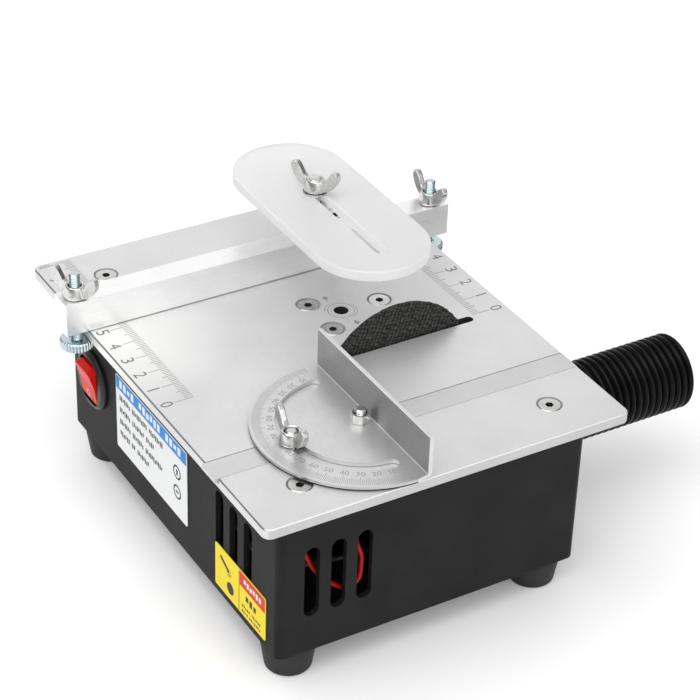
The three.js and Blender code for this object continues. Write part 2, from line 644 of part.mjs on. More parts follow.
// A screw that stands up from the slide bar.
const miterStud = (name, x, top) => piece(name, stud(x, MITER.y, -GROOVE.depth + 0.2, top), zinc);

function miterNut() {
  const M = MITER;
  const z = M.z0 + M.t + 0.1;
  const body = hexagon(M.x, M.y, z, z + 3.2, M.nut);
  return piece("miter_pivot_nut", cut(body, rod("z", M.x, M.y, 0, 9, THREAD + 0.3, 20)), nickel);
}

// One folded sheet: a half disc with an arc slot, and an upright fence along its straight side.
function miterHead() {
  const M = MITER;
  const edge = M.x + M.fold;
  const a = Math.asin((M.halfLength - 0.4) / M.r);
  const half = new THREE.Shape();
  half.moveTo(edge + 0.4, M.y + M.halfLength);
  const sweep = [];
  const from = Math.PI / 2;
  for (let i = 0; i <= 32; i++) sweep.push(from + (i / 32) * Math.PI);
  for (const t of sweep) half.lineTo(M.x + M.r * Math.cos(t), M.y + M.r * Math.sin(t));
  half.lineTo(edge + 0.4, M.y - M.halfLength);
  half.closePath();
  let body = plate(half, M.z0, M.z0 + M.t, 0.2, 1);
  const w = M.t;
  const upright = new THREE.Shape();
  upright.moveTo(edge, M.z0);
  upright.lineTo(edge + w, M.z0 + 0.5);
  upright.lineTo(edge + w, M.z0 + M.fence);
  upright.lineTo(edge, M.z0 + M.fence);
  upright.closePath();
  const g = new THREE.ExtrudeGeometry(upright, { depth: 2 * M.halfLength, bevelEnabled: false });
  body = join(body, solid(g.rotateX(Math.PI / 2).translate(0, M.y + M.halfLength, 0)));
  body = cut(body, rod("z", M.x, M.y, -1, 4, THREAD + 0.3, 24));
  const s = new THREE.Shape();
  const A = MITER_ARC;
  const [r0, r1] = [A.r - A.half, A.r + A.half];
  const swing = (A.sweep * Math.PI) / 180;
  const [t0, t1] = [Math.PI - swing, Math.PI + swing];
  s.absarc(M.x, M.y, r1, t0, t1, false);
  s.absarc(M.x + A.r * Math.cos(t1), M.y + A.r * Math.sin(t1), A.half, t1, t1 + Math.PI, false);
  s.absarc(M.x, M.y, r0, t1, t0, true);
  s.absarc(M.x + A.r * Math.cos(t0), M.y + A.r * Math.sin(t0), A.half, t0 + Math.PI, t0 + 2 * Math.PI, false);
  body = cut(body, plate(s, -1, 4, 0, 16));
  return piece("miter_head", body, satinAluminium);
}

// ---- assembly ----
const group = new THREE.Group();
group.name = "bench_saw";
group.position.set(-ORIGIN.x, -ORIGIN.y, ORIGIN.z);

group.add(tablePlate(), housing(), bottomPlate());
for (const [where, x, y] of corners(TABLE_SCREWS.inX, TABLE_SCREWS.inY))
  group.add(sunkScrew("table_screw_" + where, x, y, 13));
for (const [where, x, y] of corners(FOOT.inset, FOOT.inset))
  group.add(foot("foot_" + where, x, y), footScrew("foot_screw_" + where, x, y));
LIFT_SCREWS.forEach(([x, y], i) => group.add(sunkScrew("lift_flange_screw_" + (i + 1), x, y, 8.2)));
RODS.forEach(([x, y], i) => group.add(guideRod("guide_rod_" + (i + 1), x, y)));
group.add(switchBody(), rocker(), dcJack(), hoseCollar(), dustHose());
group.add(lead("lead_red", 4.5, LEAD.red, redWire), lead("lead_black", -4.5, LEAD.black, blackWire));
group.add(label("rating_label", 74, 130, -52, -20.5, paper));
group.add(label("warning_label", 17.4, 53, -61, -43.2, yellowPaper));
group.add(liftFlange(), liftScrew(), liftNut(), carriage(), arborBearing());
group.add(arbor(), arborPulley(), arborNut(), blade());
group.add(washer("inner_flange", 8.5, BLADE.y + 0.7, PULLEY.y0 - 0.3, nickel));
group.add(washer("outer_flange", 8.5, 73.2, BLADE.y - 0.7, nickel));
group.add(motorCan(), motorCap(), motorShaft(), driveBelt());
group.add(fenceBar(), guardStud(), guardSpacer(), guardWasher(), guardPlate());
for (const side of ["left", "right"]) {
  const C = CLAMP;
  group.add(knurledScrew("clamp_screw_" + side, C[side], C.y, C.headTop, C.headT, C.headR, C.top));
  group.add(wingNut("clamp_nut_" + side, C[side], C.y, FENCE.z1 + 0.15, side === "left" ? 116 : 92));
}
group.add(wingNut("guard_nut", GUARD.x, CLAMP.y, GUARD.z0 + GUARD.t + 0.95, 116));
group.add(miterBar(), miterHead(), miterNut());
group.add(miterStud("miter_pivot_screw", MITER.x, 6.6));
group.add(miterStud("miter_clamp_screw", MITER.x - MITER_ARC.r, 6.2));
group.add(wingNut("miter_clamp_nut", MITER.x - MITER_ARC.r, MITER.y, MITER.z0 + MITER.t + 0.12, 88));

export default group;
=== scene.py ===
"""Looks of a small bench saw: table, abrasive disc, fence with guard plate, mitre gauge and dust hose.

Lengths are millimetres in the table's own frame: x from its left edge, y from its front edge, z from its top.
finish_piece() turns that frame into the row frame in metres, where the CAD model is.
"""

import math

import bmesh
import bpy
from mathutils import Matrix, Vector, noise


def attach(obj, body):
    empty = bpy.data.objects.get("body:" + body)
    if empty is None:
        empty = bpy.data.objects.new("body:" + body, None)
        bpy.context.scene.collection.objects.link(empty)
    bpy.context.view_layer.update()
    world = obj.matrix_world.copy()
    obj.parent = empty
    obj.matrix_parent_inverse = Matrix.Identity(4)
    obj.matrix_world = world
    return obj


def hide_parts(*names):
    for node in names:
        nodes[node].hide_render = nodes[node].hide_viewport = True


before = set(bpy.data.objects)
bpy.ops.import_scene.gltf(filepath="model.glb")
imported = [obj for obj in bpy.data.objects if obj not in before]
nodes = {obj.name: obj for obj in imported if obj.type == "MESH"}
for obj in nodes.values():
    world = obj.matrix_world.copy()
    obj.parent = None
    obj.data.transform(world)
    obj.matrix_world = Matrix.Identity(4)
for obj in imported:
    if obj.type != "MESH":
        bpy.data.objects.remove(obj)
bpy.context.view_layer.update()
scene = bpy.context.scene

# ---- driving dimensions, as in the CAD source ----
METRE = 0.001
ORIGIN = Vector((97, 89.15, -76))
TABLE_X, TABLE_Y, TABLE_T, TABLE_CORNER = 139.5, 178.6, 3.85, 3.2
BODY_X, BODY_Y, BODY_Z, WALL = (10.2, 129.3), (9.7, 168.9), (-64.4, -4.15), 2.2
FOOT_IN, FOOT_TOP, FOOT_BOTTOM = 20.4, -64.7, -76
GROOVE_Y, GROOVE_DEPTH = (31.6, 41.6), 1.9
SLOT_X, SLOT_Y, SLOT_WIDTH = (61.2, 124.2), 74.7, 3.4
BLADE, BLADE_R, BLADE_BORE, BLADE_HALF = Vector((92.7, 74.7, -14.8)), 30, 2.8, 0.5
LIFT, LIFT_R = (85.2, 100.8), 2.65
LIFT_SCREWS = [(76.7, 91.8), (76.7, 109.7), (101.2, 100.9)]
TABLE_SCREW_IN, TABLE_SCREW_LENGTH, LIFT_SCREW_LENGTH = (21.6, 17.1), 13, 8.2
FENCE_X, FENCE_Y, FENCE_Z = (-8.5, 148), (129.3, 138.8), (0.25, 12.9)
CLAMPS = {"left": (-2.7, 116), "right": (142.2, 92)}
CLAMP_Y, CLAMP_TOP = 134.05, 22
CLAMP_HEAD_TOP, CLAMP_HEAD_T, CLAMP_HEAD_R = -4.1, 3.4, 6.1
GUARD_X, GUARD_Y, GUARD_R, GUARD_Z = 92.7, (73.9, 173.5), 21.4, (25.8, 29.8)
GUARD_SLOT, GUARD_SLOT_HALF, GUARD_STUD_Z = (86, 136.6), 2.15, (5.4, 33.7)
PIVOT, MITRE_R, MITRE_Z, MITRE_EDGE = (55.2, 36.6), 36.9, (0.15, 1.65), 59.4
MITRE_HALF, MITRE_TOP, ARC_R, ARC_HALF, ARC_SWEEP = 36, 15.85, 26, 2.25, 84
BAR_X, PIVOT_NUT, MITRE_SHADOW_Z = (-1.2, TABLE_X), 5.8, 0.62
HOSE_X, HOSE_AT, HOSE_R = (127.6, 203.5), (56, -35.6), (12.2, 13.1, 14.4)
HOSE_RIBS, RIB_CUT = 26, 0.35
SWITCH_AT, SWITCH_R, SWITCH_TILT = (149.5, -35), 11.6, 12.3
ROCKER_MID, ROCKER_END, ROCKER_HALF, ROCKER_SIDE, ROCKER_R = 3.05, 3.75, 7.7, 6.4, 9
VENT_LEFT, VENT_FRONT, VENT_W, VENT_Z = (50.6, 40.6, 30.6), (22.7, 32.7, 42.6), 5.6, (-49.3, -21.2)
JACK_AT, JACK_NUT = (25, -34), 11
SWITCH_BORE_R, JACK_BORE_R = 10.2, 4.2
SCALE_IN, SCALE_ZERO, SCALE_LENGTH, LINE = 14.2, 76.6, 100, 0.22
LIFT_RING_R, LIFT_ARC_R = 4.8, 5.8
ANGLE_DIGIT_R, ANGLE_TICK_R = 29.9, 35.9
LABEL_FACE, INK_FACE = 0.38, {1: 0.392, 2: 0.398}
RATING_Y, RATING_Z, WARNING_Y, WARNING_Z = (74, 130), (-52, -20.5), (17.4, 53), (-61, -43.2)
RED_WAY = [(15.6, 118, -28.6), (15.6, 60, -28.4), (16.2, 26, -26.4), (20.2, 15.6, -24), (25.5, 14.2, -33.5),
           (33, 14.6, -43), (40.3, 13.8, -46), (43.4, 13.2, -36), (41.2, 13.8, -25.5), (45, 17, -19.5),
           (80, 20, -27), (106, 20.6, -32)]
BLACK_WAY = [(18.2, 118, -37.7), (18.2, 60, -39.7), (19.6, 24, -37.7), (26, 18, -34.7), (44, 17.8, -36.7),
             (80, 18, -37.3), (106, 20.6, -36)]
WIRE_R = 0.9
THREAD_R, THREAD_PITCH, THREAD_DEPTH = 2, 0.7, 0.34
STUD_HOLE_R = THREAD_R + 0.3
MARK_LIFT = 0.012


# ---- procedural materials ----
def add_node(tree, kind, inputs, **settings):
    """A shader node: its settings first, then each input as a plain value or a link from another node."""
    node = tree.nodes.new("ShaderNode" + kind)
    for setting, value in settings.items():
        setattr(node, setting, value)
    for socket, value in inputs.items():
        if isinstance(value, bpy.types.NodeSocket):
            tree.links.new(value, node.inputs[socket])
        else:
            node.inputs[socket].default_value = value
    return node


def grey(level):
    return (level, level, level)


class Paint:
    """A Principled material whose textures are laid out in millimetres of the piece's own frame."""

    def __init__(self, name, color, roughness, metallic=0.0):
        self.material = bpy.data.materials.new(name)
        self.material.use_nodes = True
        self.tree = self.material.node_tree
        self.shader = self.tree.nodes["Principled BSDF"]
        self.set("Base Color", (*color, 1))
        self.set("Roughness", roughness)
        self.set("Metallic", metallic)
        coords = self.tree.nodes.new("ShaderNodeTexCoord")
        self.place = self.vector("SCALE", coords.outputs["Object"], "Scale", 1 / METRE).outputs[0]

    def set(self, socket, value):
        self.shader.inputs[socket].default_value = value

    def drive(self, socket, output):
        self.tree.links.new(output, self.shader.inputs[socket])

    def vector(self, operation, start, socket, value):
        """A vector calculation on start, with a value in one more socket."""
        return add_node(self.tree, "VectorMath", {0: start, socket: value}, operation=operation)

    def stretched(self, *scale):
        return self.vector("MULTIPLY", self.place, 1, scale).outputs[0]

    def noise(self, scale, detail=3.0, place=None, rough=0.5):
        inputs = {"Scale": scale, "Detail": detail, "Roughness": rough, "Vector": place or self.place}
        return add_node(self.tree, "TexNoise", inputs).outputs["Fac"]

    def cells(self, scale):
        inputs = {"Scale": scale, "Vector": self.place}
        return add_node(self.tree, "TexVoronoi", inputs).outputs["Distance"]

    def ridges(self, direction, pitch, wander):
        """Parallel waves across a direction, a little uneven, from -1 to 1."""
        across = Vector(direction).normalized() * (2 * math.pi / pitch)
        distance = self.vector("DOT_PRODUCT", self.place, 1, across).outputs["Value"]
        drift = self.math("MULTIPLY", self.noise(0.25, 3), wander)
        return self.math("SINE", self.math("ADD", distance, drift), 0)

    def span(self, value, from_low, from_high, low, high):
        inputs = {"Value": value, "From Min": from_low, "From Max": from_high, "To Min": low, "To Max": high}
        return add_node(self.tree, "MapRange", inputs).outputs["Result"]

    def blend(self, value, first, second):
        """A colour between two; the first may be another texture's result."""
        start = (*first, 1) if isinstance(first, tuple) else first
        inputs = {"Factor": value, "A": start, "B": (*second, 1)}
        return add_node(self.tree, "Mix", inputs, data_type="RGBA").outputs["Result"]

    def tint(self, texture, low, high, first, second):
        """The base colour, first to second as the texture runs from low to high."""
        self.drive("Base Color", self.blend(self.span(texture, low, high, 0, 1), first, second))

    def gloss(self, texture, low, high):
        self.drive("Roughness", self.span(texture, 0.3, 0.7, low, high))

    def near(self, point, reach):
        """One at a point, falling to nothing at the reach."""
        distance = self.vector("DISTANCE", self.place, 1, point).outputs["Value"]
        return self.span(distance, 0, reach, 1, 0)

    def math(self, operation, a, b):
        return add_node(self.tree, "Math", {0: a, 1: b}, operation=operation).outputs[0]

    def bump(self, height, depth_mm, strength=1.0):
        inputs = {"Strength": strength, "Distance": depth_mm * METRE, "Height": height}
        self.drive("Normal", add_node(self.tree, "Bump", inputs).outputs["Normal"])


def metal(name, light, dark, roughness, spread, grain=(1, 1, 1), depth=0.004, metallic=1.0, painted_highlight=None):
    """A metal with a fine grain: its colour, roughness and surface all vary a little.

    painted_highlight is the middle and the reach of a painted highlight: a patch painted paler than the rest.
    """
    p = Paint(name, light, roughness, metallic)
    fine = p.noise(3.0, 4, p.stretched(*grain), 0.6)
    broad = p.noise(0.05, 3)
    color = p.blend(p.span(p.math("ADD", fine, broad), 0.7, 1.3, 0, 1), light, dark)
    # a painted highlight: the patch is painted paler than the metal around it
    if painted_highlight:
        color = p.blend(p.near(*painted_highlight), color, (0.97, 0.965, 0.95))
    p.drive("Base Color", color)
    p.gloss(fine, roughness - spread, roughness + spread)
    p.bump(fine, depth, 0.6)
    return p.material


def moulded(name, light, dark, roughness, grain, depth, ior=1.45):
    """A moulded plastic or rubber with a fine pebbled surface."""
    p = Paint(name, light, roughness)
    p.set("IOR", ior)
    fine = p.noise(grain, 5, rough=0.65)
    broad = p.noise(0.06, 3)
    p.tint(broad, 0.35, 0.65, light, dark)
    p.gloss(fine, roughness - 0.06, roughness + 0.08)
    p.bump(fine, depth, 0.8)
    return p.material


def abrasive_disc():
    """Resin-bonded grit over a coarse woven mesh."""
    p = Paint("abrasive", (0.042, 0.041, 0.039), 0.88)
    p.set("IOR", 1.35)
    grit = p.cells(2.2)
    patches = p.noise(0.9, 5, rough=0.75)
    weave = p.math("MULTIPLY", p.ridges((1, 0, 0.55), 2.1, 9), p.ridges((-0.45, 0, 1), 2.1, 9))
    knots = p.math("ADD", p.span(weave, -0.5, 0.8, -0.12, 0.26), p.span(patches, 0.36, 0.64, -0.05, 0.5))
    dark = p.math("ADD", p.span(grit, 0, 0.55, 0.25, -0.05), knots)
    p.drive("Base Color", p.blend(dark, (0.010, 0.010, 0.0095), (0.16, 0.158, 0.152)))
    p.drive("Roughness", p.span(grit, 0, 0.5, 0.75, 0.95))
    p.bump(p.math("ADD", p.math("ADD", grit, patches), p.math("MULTIPLY", weave, 0.5)), 0.55, 1.0)
    return p.material


def frosted(name, light, dark, clear, painted_glow):
    """Satin acrylic sheet, lit a little from within by painted_glow, an emission that is painted light; the
    copies for its sawn edges get more of it, a painted highlight brighter than its faces.
    """
    p = Paint(name, light, 0.55)
    p.set("IOR", 1.49)
    p.set("Transmission Weight", clear)
    p.set("Emission Color", (1, 0.99, 0.985, 1))
    p.set("Emission Strength", painted_glow)
    p.set("Subsurface Weight", 0.6)
    p.set("Subsurface Radius", (0.012, 0.012, 0.012))
    haze = p.noise(4.0, 5, rough=0.7)
    clouds = p.noise(0.03, 2)
    p.tint(clouds, 0.35, 0.65, light, dark)
    p.gloss(haze, 0.46, 0.62)
    p.bump(haze, 0.006, 0.7)
    return p.material


def printed(name, color, tint, roughness=0.55):
    """Paper or ink with a fibrous surface."""
    p = Paint(name, color, roughness)
    p.set("IOR", 1.3)
    fibres = p.noise(5.0, 5, p.stretched(1, 0.4, 1), 0.7)
    p.tint(fibres, 0.3, 0.7, color, tint)
    p.gloss(fibres, roughness - 0.08, roughness + 0.08)
    p.bump(fibres, 0.01, 0.5)
    return p.material


# the table's aluminium carries a painted highlight, a paler patch at the table's left near the fence
ALUMINIUM = metal(
    "table_aluminium", grey(0.74), (0.67, 0.67, 0.675), 0.46, 0.05, (0.25, 1, 1), 0.003, metallic=0.7,
    painted_highlight=((-92, 30, 76), 42))
# the sides' own up-and-down grain, painted darker than the tops as painted shade, on the table's front, right
# and back sides and on the mitre disc's rim
SIDE_SHADE = metal(
    "side_shade_aluminium", (0.60, 0.60, 0.605), (0.52, 0.52, 0.525), 0.40, 0.06, (0.1, 0.1, 1.4), 0.006, metallic=0.8)
# painted highlight: a near-white aluminium on the table's front top edge and on the mitre head's top edges
RIM_HIGHLIGHT = metal("rim_highlight_aluminium", grey(0.95), grey(0.90), 0.34, 0.05, (0.2, 0.2, 1), 0.003, metallic=0.6)
GROOVE_METAL = metal(
    "groove_aluminium", grey(0.60), (0.54, 0.54, 0.545), 0.42, 0.05, (0.06, 1.2, 1), 0.004, metallic=0.75)
BAR_METAL = metal(
    "bar_aluminium", grey(0.66), (0.60, 0.60, 0.605), 0.42, 0.05, (0.06, 1.2, 1), 0.004, metallic=0.7)
SHADED = metal("shaded_aluminium", grey(0.30), grey(0.22), 0.42, 0.08, (1, 1, 0.3), 0.008, metallic=0.7)
# painted shade: a near-black aluminium put where shade falls, on the slot's and the lift hole's walls, in the
# screws' sockets and along the foot of the mitre disc's rim
DEEP_SHADE = metal("deep_shade_aluminium", grey(0.035), grey(0.02), 0.7, 0.1, (1, 1, 0.3), 0.01, metallic=0.3)
FENCE_METAL = metal(
    "fence_aluminium", grey(0.95), (0.86, 0.86, 0.865), 0.34, 0.08, (0.03, 1.4, 1.4), 0.006, metallic=0.85)
MITRE_METAL = metal(
    "mitre_aluminium", grey(0.74), grey(0.62), 0.38, 0.07, (1.4, 0.06, 1.4), 0.006, metallic=0.85)
# painted shade: a darker copy of the mitre's aluminium on the upright's inner face
MITRE_SHADE = metal(
    "mitre_shade_aluminium", grey(0.46), grey(0.36), 0.38, 0.07, (1.4, 0.06, 1.4), 0.006, metallic=0.85)
CHROME = metal("nickel_steel", (0.76, 0.76, 0.75), (0.50, 0.50, 0.49), 0.12, 0.06, (0.35, 0.35, 0.35), 0.05)
SCREW_METAL = metal("screw_nickel", (0.68, 0.67, 0.66), (0.50, 0.49, 0.48), 0.24, 0.08, (1, 1, 1), 0.01)
ZINC = metal("zinc_steel", (0.46, 0.58, 0.63), (0.66, 0.73, 0.74), 0.24, 0.09, (0.5, 0.5, 0.5), 0.012)
STEEL = metal("plain_steel", grey(0.50), (0.36, 0.36, 0.37), 0.34, 0.08, (0.5, 0.5, 0.5), 0.01)
BRASS = metal("brass", (0.66, 0.47, 0.16), (0.50, 0.34, 0.11), 0.30, 0.08, (0.5, 0.5, 0.5), 0.01)
CARRIAGE = metal(
    "carriage_aluminium", (0.62, 0.62, 0.63), (0.50, 0.50, 0.51), 0.42, 0.08, (0.3, 0.3, 1), 0.01)
HOUSING = moulded("housing_plastic", (0.0115, 0.012, 0.0115), (0.0155, 0.016, 0.0155), 0.50, 3.2, 0.05, 1.21)
BLACK = moulded("black_plastic", grey(0.010), grey(0.015), 0.34, 2.0, 0.02)
RUBBER = moulded("foot_rubber", grey(0.012), grey(0.019), 0.62, 2.4, 0.05)
HOSE = moulded("hose_plastic", grey(0.0035), grey(0.006), 0.20, 1.2, 0.008, 1.21)
RED = moulded("red_plastic", (0.72, 0.011, 0.005), (0.64, 0.010, 0.005), 0.30, 1.4, 0.0015, 1.24)
RED_WIRE = moulded("wire_red", (0.42, 0.008, 0.006), (0.34, 0.007, 0.006), 0.38, 1.5, 0.01, 1.35)
BLACK_WIRE = moulded("wire_black", grey(0.012), grey(0.02), 0.38, 1.5, 0.01)
ABRASIVE = abrasive_disc()
# painted light: every acrylic glows a little, and the copies for the slot's edges and the outer edges glow
# more, as painted highlights
ACRYLIC = frosted("frosted_acrylic", (0.955, 0.95, 0.95), (0.92, 0.915, 0.915), 0.6, 0.015)
ACRYLIC_SLOT_HIGHLIGHT = frosted("acrylic_slot_highlight", (0.96, 0.955, 0.955), (0.94, 0.935, 0.935), 0.4, 0.10)
ACRYLIC_EDGE_HIGHLIGHT = frosted("acrylic_edge_highlight", (0.95, 0.945, 0.945), (0.92, 0.915, 0.915), 0.4, 0.04)
WHITE_LABEL = printed("label_white", (0.90, 0.91, 0.91), (0.85, 0.86, 0.87))
YELLOW_LABEL = printed("label_yellow", (0.97, 0.78, 0.04), (0.92, 0.72, 0.035))
BLUE_INK = printed("ink_blue", (0.055, 0.30, 0.74), (0.045, 0.26, 0.68))
ORANGE_INK = printed("ink_orange", (0.76, 0.06, 0.028), (0.70, 0.052, 0.025))
DARK_INK = printed("ink_dark", (0.03, 0.03, 0.032), (0.055, 0.055, 0.058))
PALE_INK = printed("ink_pale", (0.85, 0.88, 0.92), (0.80, 0.84, 0.90))
ETCHED = printed("etched_mark", grey(0.15), grey(0.22), 0.6)
ETCHED_PALE = printed("etched_pale", grey(0.25), grey(0.34), 0.6)


# ---- mesh helpers ----
def link(name, data):
    obj = bpy.data.objects.new(name, data)
    scene.collection.objects.link(obj)
    return obj


def evaluated_mesh(obj):
    """An object's mesh as it stands with its modifiers, or a curve's as a mesh."""
    bpy.context.view_layer.update()
    graph = bpy.context.evaluated_depsgraph_get()
    return bpy.data.meshes.new_from_object(obj.evaluated_get(graph), depsgraph=graph)


def new_object(name, verts, faces):
    mesh = bpy.data.meshes.new(name)
    mesh.from_pydata(verts, [], faces)
    bm = bmesh.new()
    bm.from_mesh(mesh)
    bmesh.ops.remove_doubles(bm, verts=bm.verts, dist=1e-5)
    bmesh.ops.recalc_face_normals(bm, faces=bm.faces)
    bm.to_mesh(mesh)
    bm.free()
    return link(name, mesh)


def settle(obj):
    """Applies an object's modifiers."""
    made = evaluated_mesh(obj)
    obj.modifiers.clear()
    obj.data = made
    return obj


def combine(obj, operation, *tools):
    for tool in tools:
        m = obj.modifiers.new(operation, "BOOLEAN")
        m.operation, m.solver, m.object = operation, "EXACT", tool
    settle(obj)
    for tool in tools:
        bpy.data.objects.remove(tool)
    return obj


def cut(obj, *tools):
    return combine(obj, "DIFFERENCE", *tools)


def bevel(obj, width, segments=2, angle=30):
    m = obj.modifiers.new("bevel", "BEVEL")
    m.width, m.segments, m.limit_method, m.angle_limit = width, segments, "ANGLE", math.radians(angle)
    return settle(obj)


def fillet(points, radius, steps=4):
    """The corners of a flat outline rounded; a point may carry its own radius as a third number."""
    made = []
    count = len(points)
    for i, point in enumerate(points):
        here = Vector(point[:2])
        r = point[2] if len(point) > 2 else radius
        if r <= 0:
            made.append(tuple(here))
            continue
        before = Vector(points[i - 1][:2]) - here
        after = Vector(points[(i + 1) % count][:2]) - here
        half = before.angle(after) / 2
        reach = min(r / max(math.tan(half), 1e-3), 0.48 * before.length, 0.48 * after.length)
        a, b = here + before.normalized() * reach, here + after.normalized() * reach
        for k in range(steps + 1):
            t = k / steps
            made.append(tuple(a * (1 - t) ** 2 + here * 2 * t * (1 - t) + b * t * t))
    return made


def polar(cx, cy, r, degrees):
    a = math.radians(degrees)
    return (cx + r * math.cos(a), cy + r * math.sin(a))


def arc(cx, cy, r, start, end, steps):
    """Points of an arc, its angles in degrees."""
    return [polar(cx, cy, r, start + (end - start) * i / steps) for i in range(steps + 1)]


def swap(axis, u, v, w):
    """Turns in-plane u, v and along-axis w into x, y, z for an axis."""
    return {"z": (u, v, w), "x": (w, u, v), "y": (u, w, v)}[axis]


def prism(name, outline, low, high, axis="z"):
    n = len(outline)
    verts = [swap(axis, u, v, w) for w in (low, high) for u, v in outline]
    sides = [(i, (i + 1) % n, n + (i + 1) % n, n + i) for i in range(n)]
    return new_object(name, verts, [tuple(range(n))[::-1], tuple(range(n, 2 * n)), *sides])


def block(name, x, y, z):
    return prism(name, [(x[0], y[0]), (x[1], y[0]), (x[1], y[1]), (x[0], y[1])], *z)


def rounded_rectangle(x, y, r, steps=8):
    (x0, x1), (y0, y1) = x, y
    return (
        arc(x1 - r, y0 + r, r, -90, 0, steps) + arc(x1 - r, y1 - r, r, 0, 90, steps)
        + arc(x0 + r, y1 - r, r, 90, 180, steps) + arc(x0 + r, y0 + r, r, 180, 270, steps)
    )


def stadium(u, v0, v1, r, steps=24):
    """A slot shape that runs along the second coordinate."""
    return arc(u, v1 - r, r, 0, 180, steps) + arc(u, v0 + r, r, 180, 360, steps)


def hexagon(u, v, flats, turn=0):
    return arc(u, v, flats / math.sqrt(3), turn, turn + 300, 5)


def lathe(name, profile, axis="z", at=(0, 0), steps=64, closed=False, radius=None):
    """A turned body; profile is (radius, height) pairs, and radius(r, h, angle) may reshape it."""
    verts, rings, faces = [], [], []
    for r, h in profile:
        if r < 1e-6:
            rings.append([len(verts)])
            verts.append(swap(axis, *at, h))
            continue
        rings.append(list(range(len(verts), len(verts) + steps)))
        for i in range(steps):
            a = 2 * math.pi * i / steps
            rr = radius(r, h, a) if radius else r
            verts.append(swap(axis, at[0] + rr * math.cos(a), at[1] + rr * math.sin(a), h))
    for low, high in zip(rings, rings[1:] + rings[:1] if closed else rings[1:]):
        for i in range(steps):
            j = (i + 1) % steps
            corners = [low[i % len(low)], low[j % len(low)], high[j % len(high)], high[i % len(high)]]
            corners = list(dict.fromkeys(corners))
            if len(corners) > 2:
                faces.append(corners)
    return new_object(name, verts, faces)


def rod(name, r, low, high, axis="z", at=(0, 0), steps=64):
    return lathe(name, [(0, low), (r, low), (r, high), (0, high)], axis, at, steps)


def join(name, *objects):
    """Several objects as one mesh, their materials kept."""
    bm = bmesh.new()
    kept = []
    for o in objects:
        mesh = o.data.copy()
        mesh.transform(o.matrix_world)
        base = len(kept)
        kept += list(o.data.materials)
        first = len(bm.faces)
        bm.from_mesh(mesh)
        bm.faces.ensure_lookup_table()
        for f in bm.faces[first:]:
            f.material_index += base
        bpy.data.objects.remove(o)
    mesh = bpy.data.meshes.new(name)
    bm.to_mesh(mesh)
    bm.free()
    for m in kept:
        mesh.materials.append(m)
    return link(name, mesh)


def smooth(mesh, angle=35):
    for polygon in mesh.polygons:
        polygon.use_smooth = True
    mesh.set_sharp_from_angle(angle=math.radians(angle))


def paint(obj, *materials):
    obj.data.materials.clear()
    for material in materials:
        obj.data.materials.append(material)


def finish_piece(obj, body, material=None, node=None, at=(0, 0, 0), turn=0, angle=35):
    """Puts a piece made in millimetres into the row frame, turned about its own z, and lets it ride.

    node is the CAD node that it replaces.
    """
    if material:
        paint(obj, material)
    local = Vector((0, 0, 0)) if any(at) else ORIGIN
    spin = Matrix.Rotation(math.radians(turn), 4, "Z")
    obj.data.transform(Matrix.Scale(METRE, 4) @ spin @ Matrix.Translation(-local))
    smooth(obj.data, angle)
    flats = obj.modifiers.new("flats", "WEIGHTED_NORMAL")
    flats.keep_sharp = True
    if any(at):
        obj.matrix_world = Matrix.Translation((Vector(at) - ORIGIN) * METRE)
    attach(obj, body)
    if node:
        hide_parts(node)
    return obj


def split_level(obj, z):
    """Cuts a piece's faces along a level, so that each side of it can have its own material."""
    bm = bmesh.new()
    bm.from_mesh(obj.data)
    bmesh.ops.bisect_plane(bm, geom=[*bm.verts, *bm.edges, *bm.faces], plane_co=(0, 0, z), plane_no=(0, 0, 1))
    bm.to_mesh(obj.data)
    bm.free()


def dress(obj, main, *patches):
    """A main material, and others on the faces whose centre and normal pass a patch's test."""
    paint(obj, main, *[material for material, _ in patches])
    for i, (_, test) in enumerate(patches, 1):
        for face in obj.data.polygons:
            if test(face.center, face.normal):
                face.material_index = i


def copies(obj, body, material, places, angle=35):
    """The same piece at several places: (name, at, turn), each standing for the CAD node of that name.

    body is the body that they ride on, or None where each rides on the body of its own name.
    """
    for i, (name, at, turn) in enumerate(places):
        one = obj
        if i < len(places) - 1:
            one = obj.copy()
            one.data = obj.data.copy()
            scene.collection.objects.link(one)
        one.name = name + "_piece"
        finish_piece(one, body or name, material, name, at, turn, angle)


def strips(name, quads, height, axis="z"):
    """Flat marks just proud of a surface; each quad is four (u, v) points or a longer outline."""
    verts, faces = [], []
    for quad in quads:
        faces.append(tuple(range(len(verts), len(verts) + len(quad))))
        verts += [swap(axis, u, v, height) for u, v in quad]
    mesh = bpy.data.meshes.new(name)
    mesh.from_pydata(verts, [], faces)
    return link(name, mesh)


def bar(a, b, width):
    """A thin line from a to b as four points."""
    a, b = Vector(a), Vector(b)
    side = (b - a).normalized().orthogonal() * width / 2
    return [tuple(a - side), tuple(b - side), tuple(b + side), tuple(a + side)]


def ring_quads(cx, cy, r, width, start=0, end=360, steps=48):
    inner = arc(cx, cy, r - width / 2, start, end, steps)
    outer = arc(cx, cy, r + width / 2, start, end, steps)
    return [[inner[i], outer[i], outer[i + 1], inner[i + 1]] for i in range(steps)]


